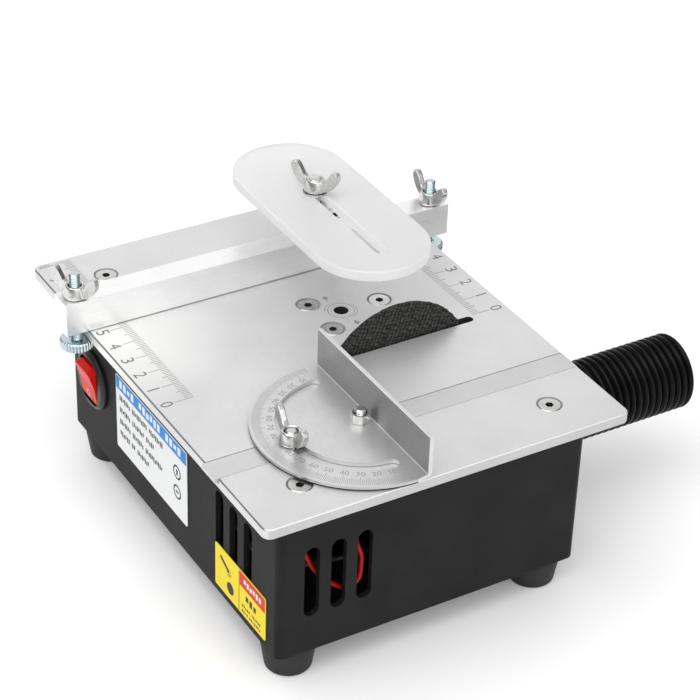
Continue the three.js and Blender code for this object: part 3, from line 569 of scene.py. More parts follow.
def number(text, width, height):
    """Digits as flat outlines, centred on the origin, as triangles in the plane."""
    curve = bpy.data.curves.new("digits", "FONT")
    curve.body = text
    curve.resolution_u = 3
    obj = link("digits", curve)
    mesh = evaluated_mesh(obj)
    bpy.data.objects.remove(obj)
    xs, ys = [v.co.x for v in mesh.vertices], [v.co.y for v in mesh.vertices]
    cx, cy = (min(xs) + max(xs)) / 2, (min(ys) + max(ys)) / 2
    # a digit 1 is a narrow stem, so a number that holds one is drawn narrower
    stem = text.count("1") / len(text)
    wide = width * (1 - 0.76 * stem) / (max(xs) - min(xs))
    tall = height / (max(ys) - min(ys))
    points = [((v.co.x - cx) * wide, (v.co.y - cy) * tall) for v in mesh.vertices]
    return [[points[i] for i in p.vertices] for p in mesh.polygons]


def placed(polygons, x, y, turn):
    """Flat polygons turned by an angle in degrees and moved."""
    c, s = math.cos(math.radians(turn)), math.sin(math.radians(turn))
    return [[(x + u * c - v * s, y + u * s + v * c) for u, v in polygon] for polygon in polygons]


# ---- table ----
def countersink(at):
    """The tool for a screw's sunk seat, wider than the screw all round."""
    profile = [(0, 0.5), (4.5, 0.5), (4.5, -0.75), (2.3, -2.95), (2.3, -5), (0, -5)]
    return lathe("countersink", profile, at=at)


def table_corners(x, y):
    """The four places at this inset from the table's sides, by name."""
    return {
        "front_left": (x, y),
        "front_right": (TABLE_X - x, y),
        "back_left": (x, TABLE_Y - y),
        "back_right": (TABLE_X - x, TABLE_Y - y),
    }


def table():
    plate = prism("table_top", rounded_rectangle((0, TABLE_X), (0, TABLE_Y), TABLE_CORNER, 10), -TABLE_T, 0)
    bevel(plate, 0.45, 3, 60)
    slot = [(x, y) for y, x in stadium(SLOT_Y, SLOT_X[0], SLOT_X[1], SLOT_WIDTH / 2, 16)]
    holes = [countersink(at) for at in [*LIFT_SCREWS, *table_corners(*TABLE_SCREW_IN).values()]]
    cut(
        plate,
        block("groove", (-1, TABLE_X + 1), GROOVE_Y, (-GROOVE_DEPTH, 1)),
        prism("slot", slot, -6, 1),
        rod("lift_hole", LIFT_R, 1, -6, at=LIFT),
        *holes,
    )
    bevel(plate, 0.14, 2, 38)

    def in_groove(at, normal):
        return normal.z > 0.9 and at.z < 0.05 - GROOVE_DEPTH and GROOVE_Y[0] < at.y < GROOVE_Y[1]

    # the walls of the slot and of the lift hole get painted shade
    def in_cut(at, normal):
        by_slot = abs(at.y - SLOT_Y) < SLOT_WIDTH / 2 + 0.2 and SLOT_X[0] - 2 < at.x < SLOT_X[1] + 2
        by_hole = math.dist(at[:2], LIFT) < LIFT_R + 0.2
        return abs(normal.z) < 0.5 and at.z < -0.1 and (by_slot or by_hole)

    # painted shade on the table's sides, though not on its left side
    def on_side(at, normal):
        inside = 0.5 < at.x < TABLE_X - 0.5 and 0.5 < at.y < TABLE_Y - 0.5
        return abs(normal.z) < 0.6 and normal.x > -0.7 and not inside

    # the table's front top edge gets a painted highlight
    def on_rim(at, normal):
        return 0.3 < normal.z < 0.99 and at.z > -0.5 and at.y < 0.6

    def on_left_rim(at, normal):
        return 0.2 < normal.z < 0.995 and at.z > -0.5 and at.x < 0.6 and normal.x < -0.1

    dress(plate, ALUMINIUM, (GROOVE_METAL, in_groove), (DEEP_SHADE, in_cut), (SIDE_SHADE, on_side),
          (RIM_HIGHLIGHT, on_rim), (SHADED, on_left_rim))
    finish_piece(plate, "base", None, "table_plate", angle=30)


def scale_marks(inner, way):
    """A 100 mm rule, its ticks running from the inner edge towards the table's side."""
    marks = []
    for i in range(SCALE_LENGTH + 1):
        length = 7.3 if i % 10 == 0 else 4.3 if i % 5 == 0 else 3.1
        y = SCALE_ZERO + i
        marks.append(bar((inner, y), (inner + way * length, y), 0.24 if i % 5 == 0 else LINE))
    for i in range(SCALE_LENGTH // 10 + 1):
        digit = number(str(i), 2.7, 4.6)
        marks += placed(digit, inner + way * 10.2, SCALE_ZERO + 10 * i, -90)
    return marks


def arrow(x, y, up):
    tip = 1 if up else -1
    head = [(x - 1.3, y), (x + 1.3, y), (x, y + 1.7 * tip)]
    stem = [(x - 0.4, y), (x + 0.4, y), (x + 0.4, y - 1.3 * tip), (x - 0.4, y - 1.3 * tip)]
    return [head, stem]


def table_marks():
    marks = scale_marks(SCALE_IN, -1) + scale_marks(TABLE_X - SCALE_IN, 1)
    rules = strips("table_rules", marks, MARK_LIFT)
    finish_piece(rules, "base", ETCHED)
    marks = ring_quads(*LIFT, LIFT_RING_R, LINE)
    marks += ring_quads(*LIFT, LIFT_ARC_R, LINE, -75, 20, 12)
    marks += ring_quads(*LIFT, LIFT_ARC_R, LINE, 115, 160, 8)
    marks += arrow(LIFT[0] - 1, LIFT[1] + 9.4, True) + arrow(LIFT[0] + 1, LIFT[1] - 9.2, False)
    obj = strips("table_marks", marks, MARK_LIFT)
    finish_piece(obj, "base", ETCHED_PALE)


def sunk_screw(length):
    """A countersunk socket screw with its top at zero."""
    outline = [(0, -0.22, 0), (3.75, -0.22, 0), (4.05, -0.5, 0.1), (1.9, -2.65, 0.2), (1.9, -length, 0),
               (0, -length, 0)]
    screw = lathe("sunk_screw", fillet(outline, 0.1, 3))
    cut(screw, prism("socket", hexagon(0, 0, 2.6, 12), -2, 1))
    bevel(screw, 0.1, 2, 40)

    # the socket's inside gets painted shade
    def in_socket(at, normal):
        return math.hypot(at.x, at.y) < 1.6 and -2.1 < at.z < -0.36

    dress(screw, SCREW_METAL, (DEEP_SHADE, in_socket))
    return screw


def screws():
    corners = table_corners(*TABLE_SCREW_IN).items()
    places = [(f"table_screw_{k}", (*at, 0), 17 * i) for i, (k, at) in enumerate(corners)]
    copies(sunk_screw(TABLE_SCREW_LENGTH), "base", None, places)
    places = [(f"lift_flange_screw_{i + 1}", (*at, 0), 23 * i) for i, at in enumerate(LIFT_SCREWS)]
    copies(sunk_screw(LIFT_SCREW_LENGTH), "base", None, places)


# ---- housing ----
def housing():
    shell = prism("housing_shell", rounded_rectangle(BODY_X, BODY_Y, 3, 10), *BODY_Z)
    bevel(shell, 0.5, 3, 60)
    inner_x, inner_y = (BODY_X[0] + WALL, BODY_X[1] - WALL), (BODY_Y[0] + WALL, BODY_Y[1] - WALL)
    tools = [prism("cavity", rounded_rectangle(inner_x, inner_y, 1, 4), BODY_Z[0] - 1, BODY_Z[1] + 1)]
    # each wall's stretch from just outside it to just inside it
    left, front = (BODY_X[0] - 1, inner_x[0] + 1), (BODY_Y[0] - 1, inner_y[0] + 1)
    right = (inner_x[1] - 1, BODY_X[1] + 1)
    for across, wall, axis in ((VENT_LEFT, left, "x"), (VENT_FRONT, front, "y")):
        tools += [prism("vent", stadium(u, *VENT_Z, VENT_W / 2, 16), *wall, axis) for u in across]
    tools.append(rod("bore", SWITCH_BORE_R, *left, "x", SWITCH_AT, 48))
    tools.append(rod("bore", HOSE_R[2] + 0.4, *right, "x", HOSE_AT, 48))
    tools.append(rod("bore", JACK_BORE_R, *right, "x", JACK_AT, 48))
    cut(shell, *tools)
    bevel(shell, 0.3, 2, 50)
    finish_piece(shell, "base", HOUSING, "housing")


def feet():
    outline = [(2.2, FOOT_TOP), (9.6, FOOT_TOP, 0.4), (9.6, FOOT_TOP - 1.6, 0.6), (8.1, FOOT_BOTTOM, 1.0),
               (4.4, FOOT_BOTTOM, 0.5), (4.4, FOOT_BOTTOM + 5.5), (2.2, FOOT_BOTTOM + 5.5)]
    foot = lathe("foot", fillet(outline, 0.2), steps=72, closed=True)
    corners = table_corners(FOOT_IN, FOOT_IN).items()
    copies(foot, "base", RUBBER, [(f"foot_{k}", (*at, 0), 0) for k, at in corners])


def switch():
    x = BODY_X[0]
    y, z = SWITCH_AT
    outline = [(0, x - 0.15, 0), (SWITCH_R, x - 0.15, 0.1), (SWITCH_R, x - 1.3, 0.8),
               (SWITCH_R - 1.4, x - 2.3, 0.8), (0, x - 2.3, 0)]
    ring = lathe("switch_bezel", fillet(outline, 0.3, 5), "x", SWITCH_AT, 96)
    combine(ring, "UNION", rod("barrel", 9.8, x - 0.5, x + 14, "x", SWITCH_AT))
    side, r = ROCKER_SIDE + 0.35, ROCKER_R + 0.8
    opening = rounded_rectangle((y - side, y + side), (z - 8.9, z + 8.9), 1.4, 6)
    well = prism("well", opening, x - 4, x + 9, "x")
    combine(well, "INTERSECT", rod("round", r, x - 5, x + 10, "x", SWITCH_AT))
    cut(ring, well)
    bevel(ring, 0.22, 3, 50)
    tabs = []
    for tab_z in (z - 4.5, z + 4.5):
        tabs.append(block("tab", (x + 13, x + 20), (y - 2.4, y + 2.4), (tab_z - 0.4, tab_z + 0.4)))
    paint(ring, BLACK)
    for one in tabs:
        paint(one, BRASS)
    whole = join("switch_body_piece", ring, *tabs)
    finish_piece(whole, "base", None, "switch_body")


def rocker_outline():
    """Outward distance from the housing and height from the pivot, top half then its mirror image."""
    half = [(ROCKER_MID, 0, 3.0), (ROCKER_END, ROCKER_HALF, 1.0), (1.0, 8.1, 0.3), (-2.5, 6.1, 0.2)]
    lower = [(out, -up, r) for out, up, r in half[1:]][::-1]
    return fillet([*half, (-4, 0, 0.3), *lower], 0.3, 5)


def rocker():
    tilt = Matrix.Rotation(math.radians(-SWITCH_TILT), 2)
    outline = [tilt @ Vector(p) for p in rocker_outline()]
    x, (y, z) = BODY_X[0], SWITCH_AT
    section = [(x - p[0], z + p[1]) for p in outline]
    body = prism("rocker_paddle", section, y - ROCKER_SIDE, y + ROCKER_SIDE, "y")
    disc = rod("disc", ROCKER_R, -6, 6, "x", steps=72)
    disc.data.transform(Matrix.Translation((x, y, z)) @ Matrix.Rotation(math.radians(-SWITCH_TILT), 4, "Y"))
    combine(body, "INTERSECT", disc)
    bevel(body, 0.6, 3, 40)
    finish_piece(body, "rocker", RED, "rocker", angle=40)
    # the round mark, on the lower facet
    mark = strips("rocker_mark", ring_quads(0, 0, 1.25, 0.34, steps=28), 0)
    rise = ROCKER_END - ROCKER_MID
    facet = math.radians(-SWITCH_TILT) + math.atan2(rise, ROCKER_HALF)
    centre = tilt @ Vector((ROCKER_MID + rise * 0.58 + 0.07, -ROCKER_HALF * 0.58))
    out = Vector((math.cos(facet), math.sin(facet)))
    up = Vector((-out.y, out.x))
    for v in mark.data.vertices:
        p = centre + up * v.co.y
        v.co = (x - p.x, y - v.co.x, z + p.y)
    finish_piece(mark, "rocker", PALE_INK)


def jack():
    x = BODY_X[1]
    barrel = [(2.8, x - 7), (2.8, x + 3.2, 0.3), (3.9, x + 3.2, 0.5), (3.9, x - 2.5), (5.4, x - 2.5, 0.3),
              (5.4, x - 5.5, 0.3), (3.9, x - 5.5), (3.9, x - 12, 0.3), (0, x - 12, 0), (0, x - 7, 0)]
    shell = lathe("jack_barrel", fillet(barrel, 0.1), "x", JACK_AT, 48, closed=True)
    nut = prism("jack_nut", hexagon(*JACK_AT, JACK_NUT, 30), x + 0.3, x + 2.6, "x")
    cut(nut, rod("bore", 3.95, x - 1, x + 5, "x", JACK_AT, 48))
    bevel(nut, 0.3, 2, 40)
    point = [(0, x - 7, 0), (0.9, x - 7, 0), (0.9, x + 1.6, 0.5), (0, x + 1.9, 0)]
    pin = lathe("jack_pin", fillet(point, 0.4), "x", JACK_AT, 32)
    for o, m in ((shell, BLACK), (nut, SCREW_METAL), (pin, BRASS)):
        paint(o, m)
    finish_piece(join("dc_jack_piece", shell, nut, pin), "base", None, "dc_jack")


def lead(name, dz, way, material):
    """An insulated lead from the switch to the jack, by way of the points given."""
    x, (sy, sz) = BODY_X[0], SWITCH_AT
    points = [(x + 20.6, sy, sz + dz), (x + 24, sy - 2, sz + dz), (x + 20, sy - 14, sz + dz * 0.6), *way,
              (BODY_X[1] - 12.9, JACK_AT[0] + dz * 0.3, JACK_AT[1] + dz * 0.3)]
    curve = bpy.data.curves.new(name, "CURVE")
    curve.dimensions, curve.bevel_depth, curve.bevel_resolution, curve.resolution_u = "3D", WIRE_R, 4, 10
    curve.use_fill_caps = True
    spline = curve.splines.new("BEZIER")
    spline.bezier_points.add(len(points) - 1)
    for knot, point in zip(spline.bezier_points, points):
        knot.co = point
        knot.handle_left_type = knot.handle_right_type = "AUTO"
    path = link(name + "_path", curve)
    obj = link(name + "_piece", evaluated_mesh(path))
    bpy.data.objects.remove(path)
    finish_piece(obj, "base", material, name)


# ---- labels ----
def sticker(name, y, z, material):
    x = BODY_X[0]
    body = prism(name + "_piece", rounded_rectangle(y, z, 0.8, 6), x - LABEL_FACE, x - 0.08, "x")
    bevel(body, 0.06, 2, 50)
    finish_piece(body, "base", material, name)


def ink(name, quads, material, layer=1):
    """Printed marks on a sticker; a mark of layer 2 lies on one of layer 1."""
    obj = strips(name, quads, BODY_X[0] - INK_FACE[layer], "x")
    finish_piece(obj, "base", material)


def oblong(y0, y1, z0, z1, r=0.0):
    return rounded_rectangle((y0, y1), (z0, z1), r, 4) if r else [(y0, z0), (y1, z0), (y1, z1), (y0, z1)]


def word_bars(y, top, height, widths, gap, letter):
    """A row of strokes that stand for words, read towards the front; letter is the width of one stroke."""
    made = []
    for w in widths:
        count = max(1, round(w / letter))
        step = w / count
        for i in range(count):
            start = y - step * i
            low = top - height * (0.78 if (i * 7 + count) % 3 == 0 else 1)
            high = top - (0.22 * height if i % 4 == 2 else 0)
            made.append(oblong(start - step * 0.68, start, low, high))
        y -= w + gap
    return made


def labels():
    sticker("rating_label", RATING_Y, RATING_Z, WHITE_LABEL)
    ink("rating_header", [oblong(74.3, 129.7, -26.2, -20.8, 0.6)], BLUE_INK)
    words = ([8.8, 12, 11], [8.8, 9.5, 6.5], [8.8, 9, 13.5], [8, 3, 9.5])
    rows = [bar for i, w in enumerate(words) for bar in word_bars(127, -28.2 - 5.1 * i, 2.3, w, 1.5, 1.25)]
    ink("rating_rows", rows, DARK_INK)
    badge = ring_quads(81.5, -33.2, 2.5, 0.75, steps=32) + ring_quads(81.5, -41.6, 2.5, 0.75, steps=32)
    badge += [oblong(80.9, 82.1, -34.4, -32.0), oblong(80.3, 82.7, -42.0, -41.2)]
    ink("rating_badges", badge, DARK_INK)
    header = word_bars(127, -21.9, 3.2, [12.5, 17.5, 12.5], 3.4, 2.9)
    ink("rating_header_bars", header, PALE_INK, 2)
    sticker("warning_label", WARNING_Y, WARNING_Z, YELLOW_LABEL)
    ink("warning_band", [oblong(17.7, 35.4, -49.4, -43.5, 0.4)], ORANGE_INK)
    burst = []
    for k in range(8):
        t = k * math.pi / 4
        ray = ((0.6, t - 0.4), (2.1, t), (0.6, t + 0.4))
        burst.append([(42.9 + r * math.cos(a), -50.5 + r * math.sin(a)) for r, a in ray])
    slant = placed([oblong(-3.4, 3.4, -0.75, 0.75, 0.4)], 46.2, -48.3, 27)
    disc = [arc(42, -56.2, 2.4, 0, 350, 35)]
    ink("warning_sign", disc + slant + burst + [oblong(35.55, 35.95, -60.6, -43.6)], DARK_INK)
    rows = word_bars(31, -51.4, 2.8, [8], 1, 2.7)
    rows += word_bars(33.6, -56.4, 1.1, [6, 6.4], 0.8, 1.1) + word_bars(33.6, -58.6, 1.1, [4.4, 8], 0.8, 1.1)
    ink("warning_rows", rows, DARK_INK)
    band = word_bars(32.4, -45.4, 2.2, [12.6], 1, 2.1)
    ink("warning_band_bars", band, PALE_INK, 2)


# ---- dust hose ----
def hose():
    inner, root, crest = HOSE_R
    pitch = (HOSE_X[1] - HOSE_X[0]) / HOSE_RIBS
    steps, valley = 10, root - RIB_CUT
    profile = []
    for i in range(HOSE_RIBS * steps + 1):
        wave = 0.5 - 0.5 * math.cos(2 * math.pi * i / steps)
        profile.append((valley + (crest - root + RIB_CUT) * wave ** 0.45, HOSE_X[0] + pitch * i / steps))
    inside = []
    for i in range(HOSE_RIBS * 2 + 1):
        inside.append((inner + (RIB_CUT if i % 2 else 0), HOSE_X[1] - pitch * i / 2))
    tube = lathe("dust_hose_piece", profile + inside, "x", HOSE_AT, 96, closed=True)
    finish_piece(tube, "base", HOSE, "dust_hose", angle=50)
    x = BODY_X[1]
    r = crest + 0.4
    outline = [(r, x + 0.15), (r + 3.6, x + 0.15, 0.2), (r + 3.6, x + 1.4, 0.5), (r + 1.6, x + 2.4, 0.6),
               (r + 1.2, x + 5, 0.5), (r, x + 5, 0.2)]
    collar = lathe("hose_collar_piece", fillet(outline, 0.1, 5), "x", HOSE_AT, 96, closed=True)
    finish_piece(collar, "base", BLACK, "hose_collar")


# ---- threads, nuts and knurled screws ----
def threaded(low, high):
    """A threaded rod along z with a chamfered upper end."""
    r, tip, per_turn = THREAD_R, 0.45, 6
    count = int((high - low - tip) / THREAD_PITCH * per_turn)
    heights = [low + (high - tip - low) * i / count for i in range(count + 1)]
    profile = [(0, low), *[(r, h) for h in heights], (r * 0.74, high), (0, high)]

    def flank(radius, h, a):
        if radius < r or h > high - tip - 1e-6:
            return radius
        phase = ((h - low) / THREAD_PITCH - a / (2 * math.pi)) % 1
        return radius - THREAD_DEPTH * abs(2 * phase - 1)

    return lathe("stud", profile, steps=24, radius=flank)


def clamp_screw():
    """A knurled head with its underside at zero, and a threaded stud that stands up from it."""
    head_t, head_r, teeth = CLAMP_HEAD_T, CLAMP_HEAD_R, 34
    outline = [(0, 0, 0), (head_r - 0.7, 0), (head_r, 0.6), (head_r, head_t - 0.6), (head_r - 0.7, head_t),
               (2.6, head_t), (2.6, head_t - 0.5), (0, head_t - 0.5, 0)]

    def knurl(r, h, a):
        if r < head_r - 0.5:
            return r
        return r - 0.42 * abs(math.sin(teeth * a / 2)) ** 0.7

    profile = fillet(outline, 0.1, 2)
    head = lathe("knurled_head", profile, steps=teeth * 6, radius=knurl)
    return join("clamp_screw", head, threaded(head_t - 1, CLAMP_TOP - CLAMP_HEAD_TOP + head_t))


def wing_outline():
    """One ear, as distances from the nut's middle and heights, from the hub's foot round to its top."""
    lower = [(1.5, 0.35), (4.3, 0.45), (6.2, 1.3), (7.9, 2.8), (9.2, 4.6), (10.0, 6.3)]
    tip = [(10.2, 7.9), (9.8, 9.1), (8.8, 9.6), (7.7, 9.4)]
    upper = [(6.6, 8.3), (5.7, 6.8), (4.7, 5.2), (3.4, 4.3), (1.5, 4.2)]
    return lower + tip + upper


def wing_nut(dome=False):
    """A cast wing nut that stands on zero: a flared hub with two ears."""
    outline = [(0, 0.05, 0), (4.15, 0.05), (4.3, 0.8, 0.4), (3.7, 3.0, 1), (3.2, 4.55), (0, 4.55, 0)]
    hub = lathe("hub", fillet(outline, 0.3), steps=48)
    ears = []
    for way in (1, -1):
        ears.append(prism("ear", [(way * x, z) for x, z in fillet(wing_outline(), 0.4, 2)], -1.1, 1.1, "y"))
    nut = join("wing_nut", hub, *ears)
    m = nut.modifiers.new("cast", "REMESH")
    m.mode, m.voxel_size, m.use_smooth_shade = "VOXEL", 0.2, True
    m = nut.modifiers.new("soften", "SMOOTH")
    m.factor, m.iterations = 0.5, 5
    m = nut.modifiers.new("lighten", "DECIMATE")
    m.ratio = 0.3
    settle(nut)
    if dome:
        outline = [(0, 4.0, 0), (2.5, 4.0, 0), (2.5, 4.7, 0.3), (1.5, 5.15, 0.5), (0, 5.3, 0)]
        return join("wing_nut", nut, lathe("cap", fillet(outline, 0.3), steps=40))
    narrow, wide = THREAD_R + 0.25, THREAD_R + 0.75
    bore = [(0, -1), (narrow, -1), (narrow, 4.1), (wide, 4.6), (wide, 6), (0, 6)]
    return cut(nut, lathe("bore", bore, steps=40))


def clamps():
    head_bottom = CLAMP_HEAD_TOP - CLAMP_HEAD_T
    places = [(f"clamp_screw_{k}", (x, CLAMP_Y, head_bottom), 0) for k, (x, _) in CLAMPS.items()]
    copies(clamp_screw(), None, ZINC, places)
    nut_bottom = FENCE_Z[1] + 0.15
    places = [(f"clamp_nut_{k}", (x, CLAMP_Y, nut_bottom), turn) for k, (x, turn) in CLAMPS.items()]
    copies(wing_nut(), None, CHROME, places, 60)
    place = ("miter_clamp_nut", (PIVOT[0] - ARC_R, PIVOT[1], MITRE_Z[1] + 0.12), 88)
    copies(wing_nut(), None, CHROME, [place], 60)
    place = ("guard_nut", (GUARD_X, CLAMP_Y, GUARD_Z[1] + 0.95), 116)
    copies(wing_nut(dome=True), None, CHROME, [place], 60)


# ---- fence and guard ----
def fence():
    body = prism("fence_piece", rounded_rectangle(FENCE_X, FENCE_Y, 0.3, 2), *FENCE_Z)
    tools = [rod("drill", STUD_HOLE_R, -1, 14, at=(x, CLAMP_Y), steps=40) for x, _ in CLAMPS.values()]
    tools.append(rod("drill", STUD_HOLE_R, 5, 14, at=(GUARD_X, CLAMP_Y), steps=40))
    cut(body, *tools)
    bevel(body, 0.22, 2, 40)
    finish_piece(body, "fence", FENCE_METAL, "fence_bar")


def guard():
    plate = prism("guard_plate_piece", stadium(GUARD_X, *GUARD_Y, GUARD_R, 48), *GUARD_Z)
    slot = stadium(GUARD_X, *GUARD_SLOT, GUARD_SLOT_HALF, 16)
    cut(plate, prism("slot", slot, GUARD_Z[0] - 1, GUARD_Z[1] + 1))
    bevel(plate, 0.4, 3, 50)

    def edge(at, normal):
        return abs(normal.z) < 0.9

    def slot_edge(at, normal):
        inside = abs(at.x - GUARD_X) < GUARD_R / 2 and GUARD_SLOT[0] - 4 < at.y < GUARD_SLOT[1] + 4
        return edge(at, normal) and inside

    # the sawn edges and the slot's edges get the copies that glow more, painted highlights
    dress(plate, ACRYLIC, (ACRYLIC_EDGE_HIGHLIGHT, edge), (ACRYLIC_SLOT_HIGHLIGHT, slot_edge))
    finish_piece(plate, "guard_plate", None, "guard_plate")
    low, high, bore, at = FENCE_Z[1] + 0.15, GUARD_Z[0] - 0.15, STUD_HOLE_R, (GUARD_X, CLAMP_Y)
    outline = fillet([(bore, low), (4.5, low, 0.3), (4.5, high, 0.3), (bore, high)], 0.15, 3)
    sleeve = lathe("guard_spacer_piece", outline, at=at, closed=True)
    finish_piece(sleeve, "fence", CHROME, "guard_spacer")
    z = GUARD_Z[1]
    outline = fillet([(bore, z + 0.1), (4.6, z + 0.1, 0.2), (4.6, z + 0.8, 0.2), (bore, z + 0.8)], 0.1, 3)
    ring = lathe("guard_washer_piece", outline, at=at, closed=True)
    finish_piece(ring, "guard_washer", CHROME, "guard_washer")
    low, high = GUARD_STUD_Z
    copies(threaded(0, high - low), "fence", ZINC, [("guard_stud", (*at, low), 0)])


# ---- mitre gauge ----
def mitre_sheet():
    """The flat half of the folded sheet, with its arc slot."""
    px, py = PIVOT
    outline = [(MITRE_EDGE + 0.6, py - MITRE_HALF), (MITRE_EDGE + 0.6, py + MITRE_HALF)]
    outline += arc(px, py, MITRE_R, 90, 270, 96)
    sheet = prism("miter_head_piece", outline, *MITRE_Z)
    start, end = 180 - ARC_SWEEP, 180 + ARC_SWEEP
    slot = arc(px, py, ARC_R + ARC_HALF, start, end, 72)
    slot += arc(*polar(px, py, ARC_R, end), ARC_HALF, end, end + 180, 12)[1:-1]
    slot += arc(px, py, ARC_R - ARC_HALF, end, start, 72)
    slot += arc(*polar(px, py, ARC_R, start), ARC_HALF, start + 180, start + 360, 12)[1:-1]
    return cut(sheet, prism("arc_slot", slot, -1, 4), rod("hole", STUD_HOLE_R, -1, 4, at=PIVOT, steps=40))


def mitre_fold():
    """The bend and the upright half, drawn as a section and run along y."""
    t = MITRE_Z[1] - MITRE_Z[0]
    e, low, top = MITRE_EDGE, MITRE_Z[0], MITRE_TOP
    section = fillet([(e - 1.2, low, 0), (e + t, low, 1.6), (e + t, top, 0.25), (e, top, 0.25),
                      (e, low + t, 0.5), (e - 1.2, low + t, 0)], 0.2, 6)
    return prism("fold", section, PIVOT[1] - MITRE_HALF, PIVOT[1] + MITRE_HALF, "y")


def mitre_marks():
    """The angle scale: a tick for each degree and a number for each ten."""
    px, py = PIVOT
    marks = []
    for a in range(-88, 89):
        inner = 31.5 if a % 10 == 0 else 32.1 if a % 5 == 0 else 32.9
        marks.append(bar(polar(px, py, inner, 180 - a), polar(px, py, ANGLE_TICK_R, 180 - a), 0.15))
    for a in range(-80, 81, 10):
        digits = number(str(90 - abs(a)), 3.1, 2.1)
        marks += placed(digits, *polar(px, py, ANGLE_DIGIT_R, 180 - a), -90 - a)
    marks += placed(number("0", 1.4, 2.1), px - 0.6, py - 30.2, 0)
    obj = strips("miter_marks", marks, MITRE_Z[1] + MARK_LIFT)
    finish_piece(obj, "miter_head", ETCHED_PALE)


def mitre_head():
    head = combine(mitre_sheet(), "UNION", mitre_fold())
    bevel(head, 0.12, 2, 40)
    split_level(head, MITRE_SHADOW_Z)

    # the upright's inner face gets painted shade
    def upright_back(at, normal):
        return normal.x < -0.6 and at.x > PIVOT[0] and at.z > MITRE_Z[1] + 0.4

    # painted shade on the disc's rim
    def rim(at, normal):
        outside = math.dist(at[:2], PIVOT) > ARC_R + ARC_HALF + 1
        return outside and abs(normal.z) < 0.5 and at.z < MITRE_Z[1] and at.x < PIVOT[0] + 1

    # a painted shadow: the rim's band below MITRE_SHADOW_Z is painted near-black where the disc meets the
    # table
    def rim_foot(at, normal):
        return rim(at, normal) and at.z < MITRE_SHADOW_Z

    def folded_end(at, normal):
        return abs(normal.y) > 0.9 and at.x > PIVOT[0] and abs(at.y - PIVOT[1]) > MITRE_HALF - 0.3

    # the top edges of the disc and of the upright get a painted highlight
    def bright_edge(at, normal):
        top_edge = 0.2 < normal.z < 0.97 and at.z > MITRE_Z[1] - 0.2 and abs(normal.x) + abs(normal.y) > 0.25
        return top_edge and (at.x < PIVOT[0] or at.z > MITRE_TOP - 0.3)

    dress(head, MITRE_METAL, (MITRE_SHADE, upright_back), (SIDE_SHADE, rim), (DEEP_SHADE, rim_foot),
          (RIM_HIGHLIGHT, bright_edge), (ALUMINIUM, folded_end))
    finish_piece(head, "miter_head", None, "miter_head", angle=30)


def mitre_bar():
    groove = (GROOVE_Y[0] + 0.25, GROOVE_Y[1] - 0.25)
    slide = block("miter_bar_piece", BAR_X, groove, (-GROOVE_DEPTH + 0.15, -0.12))
    studs = (PIVOT[0], PIVOT[0] - ARC_R)
    cut(slide, *[rod("drill", STUD_HOLE_R, -5, 2, at=(x, PIVOT[1]), steps=32) for x in studs])
    bevel(slide, 0.15, 2, 40)
    finish_piece(slide, "miter_bar", BAR_METAL, "miter_bar")


def mitre_nut():
    nut_z = MITRE_Z[1] + 0.1
    nut = prism("miter_pivot_nut_piece", hexagon(*PIVOT, PIVOT_NUT, 14), nut_z, nut_z + 3.2)
    cone = fillet([(0, -0.1, 0), (4, -0.1, 0), (4, 2.55, 0.3), (2.85, 3.25, 0), (0, 3.25, 0)], 0.1, 3)
    combine(nut, "INTERSECT", lathe("cone", [(r, h + nut_z) for r, h in cone], at=PIVOT))
    cut(nut, rod("drill", STUD_HOLE_R, 0, 9, at=PIVOT, steps=40))
    bevel(nut, 0.08, 2, 35)
    finish_piece(nut, "miter_bar", CHROME, "miter_pivot_nut")


def mitre_studs():
    low = -GROOVE_DEPTH + 0.2
    for name, x, top in (("miter_pivot_screw", PIVOT[0], 6.6), ("miter_clamp_screw", PIVOT[0] - ARC_R, 6.2)):
        place = (name, (x, PIVOT[1], low), 0)
        copies(threaded(0, top - low), "miter_bar", SCREW_METAL, [place])


# ---- abrasive disc ----
def blade():
    """A thin disc with a gritty face and a slightly uneven rim."""
    rings, steps = 30, 300
    verts = []
    for side in (1, -1):
        for k in range(rings + 1):
            for i in range(steps):
                a = 2 * math.pi * i / steps
                wear = abs(noise.noise(Vector((9 * math.cos(a), 9 * math.sin(a), 3))))
                rim = BLADE_R - 0.18 - 0.42 * wear
                r = BLADE_BORE + (rim - BLADE_BORE) * (k / rings) ** 0.8
                x, z = r * math.cos(a), r * math.sin(a)
                grit = noise.noise(Vector((x, z, side)) * 1.7 + Vector((5, 0, 0)))
                raised = 0 if k in (0, rings) else 0.035 * grit
                y = side * (BLADE_HALF + (raised - 0.05 if k < rings else -0.15))
                verts.append((BLADE.x + x, BLADE.y + y, BLADE.z + z))
    layer = (rings + 1) * steps
    # bands of faces between two circles of points: both sides, then the bore and the rim
    bands = [(side + k * steps, side + (k + 1) * steps) for side in (0, layer) for k in range(rings)]
    bands += [(k * steps, layer + k * steps) for k in (0, rings)]
    faces = []
    for a, b in bands:
        for i in range(steps):
            j = (i + 1) % steps
            faces.append((a + i, a + j, b + j, b + i))
    finish_piece(new_object("blade_piece", verts, faces), "arbor", ABRASIVE, "blade")


